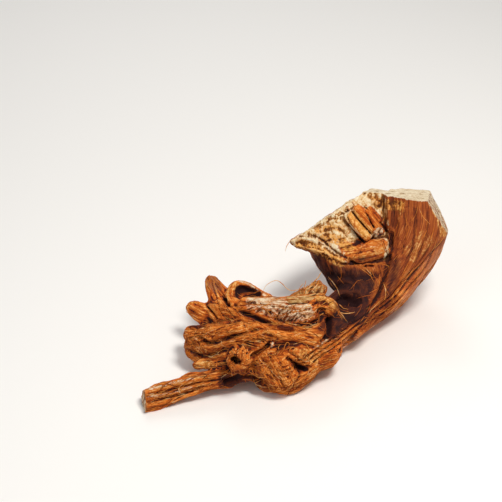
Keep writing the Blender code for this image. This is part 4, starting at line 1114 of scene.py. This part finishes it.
def looseFibres():
    random = np.random.default_rng(fibres["seed"])
    amount = np.array([limb.loose for limb in limbs])[surface.owner]
    high = surface.on(stumpLimbs) * rise(surface.points[:, 2], *fibres["stumpFrom"])
    amount = amount * (1 - fibres["stumpBare"] * high) * (1 - cutShare)
    amount = amount * (surface.points[:, 2] > fibres["lowest"])
    # Few loose fibres are laid where shade is painted.
    dark = np.minimum(1, 1.3 * painted("dark", surface))
    amount = amount * (1 - fibres["shadeBare"] * dark) * (1 - surface.broken()[0])
    courses = np.stack(surface.courses)[surface.owner, np.arange(len(surface.points))]
    strips, tones = [], []
    for start in random.choice(len(amount), fibres["count"], replace=False, p=amount / amount.sum()):
        at = Vector(surface.points[start])
        course = Vector(courses[start]) + Vector(random.normal(0, fibres["stray"], 3))
        line, outs = [], []
        peel = max(0.0, random.normal(0.0, 1.0)) * fibres["peel"]
        steps = int(random.integers(*fibres["steps"]))
        turn = Vector(random.normal(0, fibres["turn"], 3))
        for i in range(steps):
            found, normal, _, _ = bvh.find_nearest(at)
            line.append(found + normal * (fibres["lift"] + peel * (i / (steps - 1)) ** 3))
            outs.append(normal)
            course = (course + turn - normal * course.dot(normal)).normalized()
            at = found + course * fibres["step"]
        wide = random.uniform(*fibres["halfWidth"])
        rings = tube(line, outs, wide, wide * fibres["thickness"])
        tone = random.beta(*fibres["tones"])
        if np.isfinite(rings).all():  # one that doubles back onto itself has no course, and is left out
            strips.append(rings)
            tones.append(tone)
    return stripsObject("loose_fibres", strips, tones)


fibrePiece = looseFibres()
looseFibre = fibreFinish()
fibrePiece.data.materials.append(looseFibre)
print("loose fibres:", len(fibrePiece.data.polygons), "faces")

hairLook = dict(step=0.6, faces=(0, -0.6, 0.8))

# Hairs, as the eye sees them: a route that starts on the skin, how far it stands off it, its half thickness
# and its tone, from dark to pale.
hairs = [
    ([(5.2, -16.4), (6.4, -14), (8.8, -12.4), (10.8, -12), (12.8, -13.2), (14.8, -15.2), (17.2, -16),
     (22.8, -14.6)], 1.5, 0.16, 0.95),
    ([(23.2, -15.4), (25.2, -12.8), (27.2, -10.8), (28.6, -8.4)], 1.0, 0.2, 0.95),
    ([(22.5, -15.8), (24.6, -14.2), (26, -12.4)], 1.0, 0.2, 0.9),
    ([(24.6, -16), (26.6, -14), (27.6, -12.4)], 1.0, 0.22, 0.9),
    ([(31.2, -10.4), (33.2, -12.8), (34.8, -15.2), (36, -18.4)], 0.8, 0.13, 0.9),
    ([(16.4, 4.4), (14.8, 2), (14, -0.4)], 0.5, 0.13, 0.9),
    ([(21, -15.8), (22, -13.6), (22.4, -11.8)], 0.8, 0.14, 0.8),
    ([(19.4, -16.6), (20, -14.8), (21.4, -13)], 0.8, 0.14, 0.8),
    ([(25.8, -14.6), (27.4, -13.4), (29.4, -13)], 0.8, 0.14, 0.8),
    ([(13.1, -40.6), (14, -38), (14.8, -36.7), (15.8, -37.2), (15.4, -38.2)], 0.6, 0.17, 0.72),
    ([(15.6, -40.8), (16.2, -39.2), (17.6, -38.6), (18.2, -39.4)], 0.6, 0.15, 0.66),
    ([(22.5, -37.4), (23.4, -39), (24.1, -40.2)], 0.6, 0.18, 0.8),
    ([(11.6, -40), (11.4, -38.4), (12.4, -37.4)], 0.6, 0.14, 0.7),
    ([(27.4, -50.4), (28, -48), (27.4, -45.6)], 0.6, 0.14, 0.7),
    ([(-27, -53.5), (-28.4, -55), (-28, -56.8), (-26.2, -57.4)], 0.5, 0.18, 0.9),
]


def hairLines():
    strips, tones = [], []
    for route, stand, thick, tone in hairs:
        depth = None  # until the route meets the skin
        line = []
        for across, up in through(route, hairLook["step"])[:, :2]:
            aim = (lookedAt - eye) + rightward * across + upward * up
            found, _, _, _ = bvh.ray_cast(eye, aim.normalized())
            if found is not None:
                depth = (found - eye).dot(forward) - stand * (0 if not line else 1)
            if depth is not None:
                line.append(eye + aim * (depth / aim.dot(forward)))
        if len(line) > 2:
            strips.append(tube(line, [hairLook["faces"]] * len(line), thick, thick))
            tones.append(tone)
    return stripsObject("hairs", strips, tones)


hairPiece = hairLines()
hairPiece.data.materials.append(looseFibre)
print("hairs:", len(hairPiece.data.polygons), "faces")

stageLook = dict(
    floorSize=4000, floorColour=(0.90, 0.89, 0.87, 1),
    world=((1.0, 0.98, 0.96, 1), 0.30),
    lights={  # the place on the bench in mm, the size in mm, the power and the colour
        "key": ((150, -110, 520), 170, 2.4, (1, 0.97, 0.92)),
        "fill": ((-420, -300, 320), 500, 0.6, (0.93, 0.96, 1)),
        "rim": ((-100, 450, 420), 300, 0.6, (1, 1, 1)),
    },
    aim=(10, 30, 20),
)
cameraLook = dict(eye=(-19.6, -428.7, 369.0), lookedAt=(-19.6, 30, 47.8), lens=100.4, sensor=36)


def aimed(name, data, place, target):  # a lamp or a camera at one place on the bench, turned to another
    obj = linked(name, data)
    obj.location = (Vector(place) + benchToOrigin) * millimetre
    obj.rotation_mode = "QUATERNION"
    obj.rotation_quaternion = (Vector(target) - Vector(place)).to_track_quat("-Z", "Y")
    return obj


def makeStage():
    shape = bmesh.new()
    bmesh.ops.create_grid(shape, x_segments=1, y_segments=1, size=stageLook["floorSize"] / 2)
    floor = newObject("floor", shape)
    finish = Finish("pale floor")
    floor.data.materials.append(finish.done({"Base Color": stageLook["floorColour"], "Roughness": 0.9}))
    for name, (place, size, power, colour) in stageLook["lights"].items():
        light = bpy.data.lights.new(name, "AREA")
        light.shape = "DISK"
        light.size = size * millimetre
        light.energy = power
        light.color = colour
        aimed(name, light, place, stageLook["aim"])
    world = bpy.data.worlds.new("soft room")
    world.use_nodes = True
    colour, strength = stageLook["world"]
    world.node_tree.nodes["Background"].inputs["Color"].default_value = colour
    world.node_tree.nodes["Background"].inputs["Strength"].default_value = strength
    bpy.context.scene.world = world
    bpy.context.scene.view_settings.view_transform = "Standard"


def makeCamera():
    data = bpy.data.cameras.new("camera")
    data.sensor_width = cameraLook["sensor"]
    data.lens = cameraLook["lens"]
    bpy.context.scene.camera = aimed("camera", data, cameraLook["eye"], cameraLook["lookedAt"])


makeStage()
makeCamera()
print("stage and camera: set")
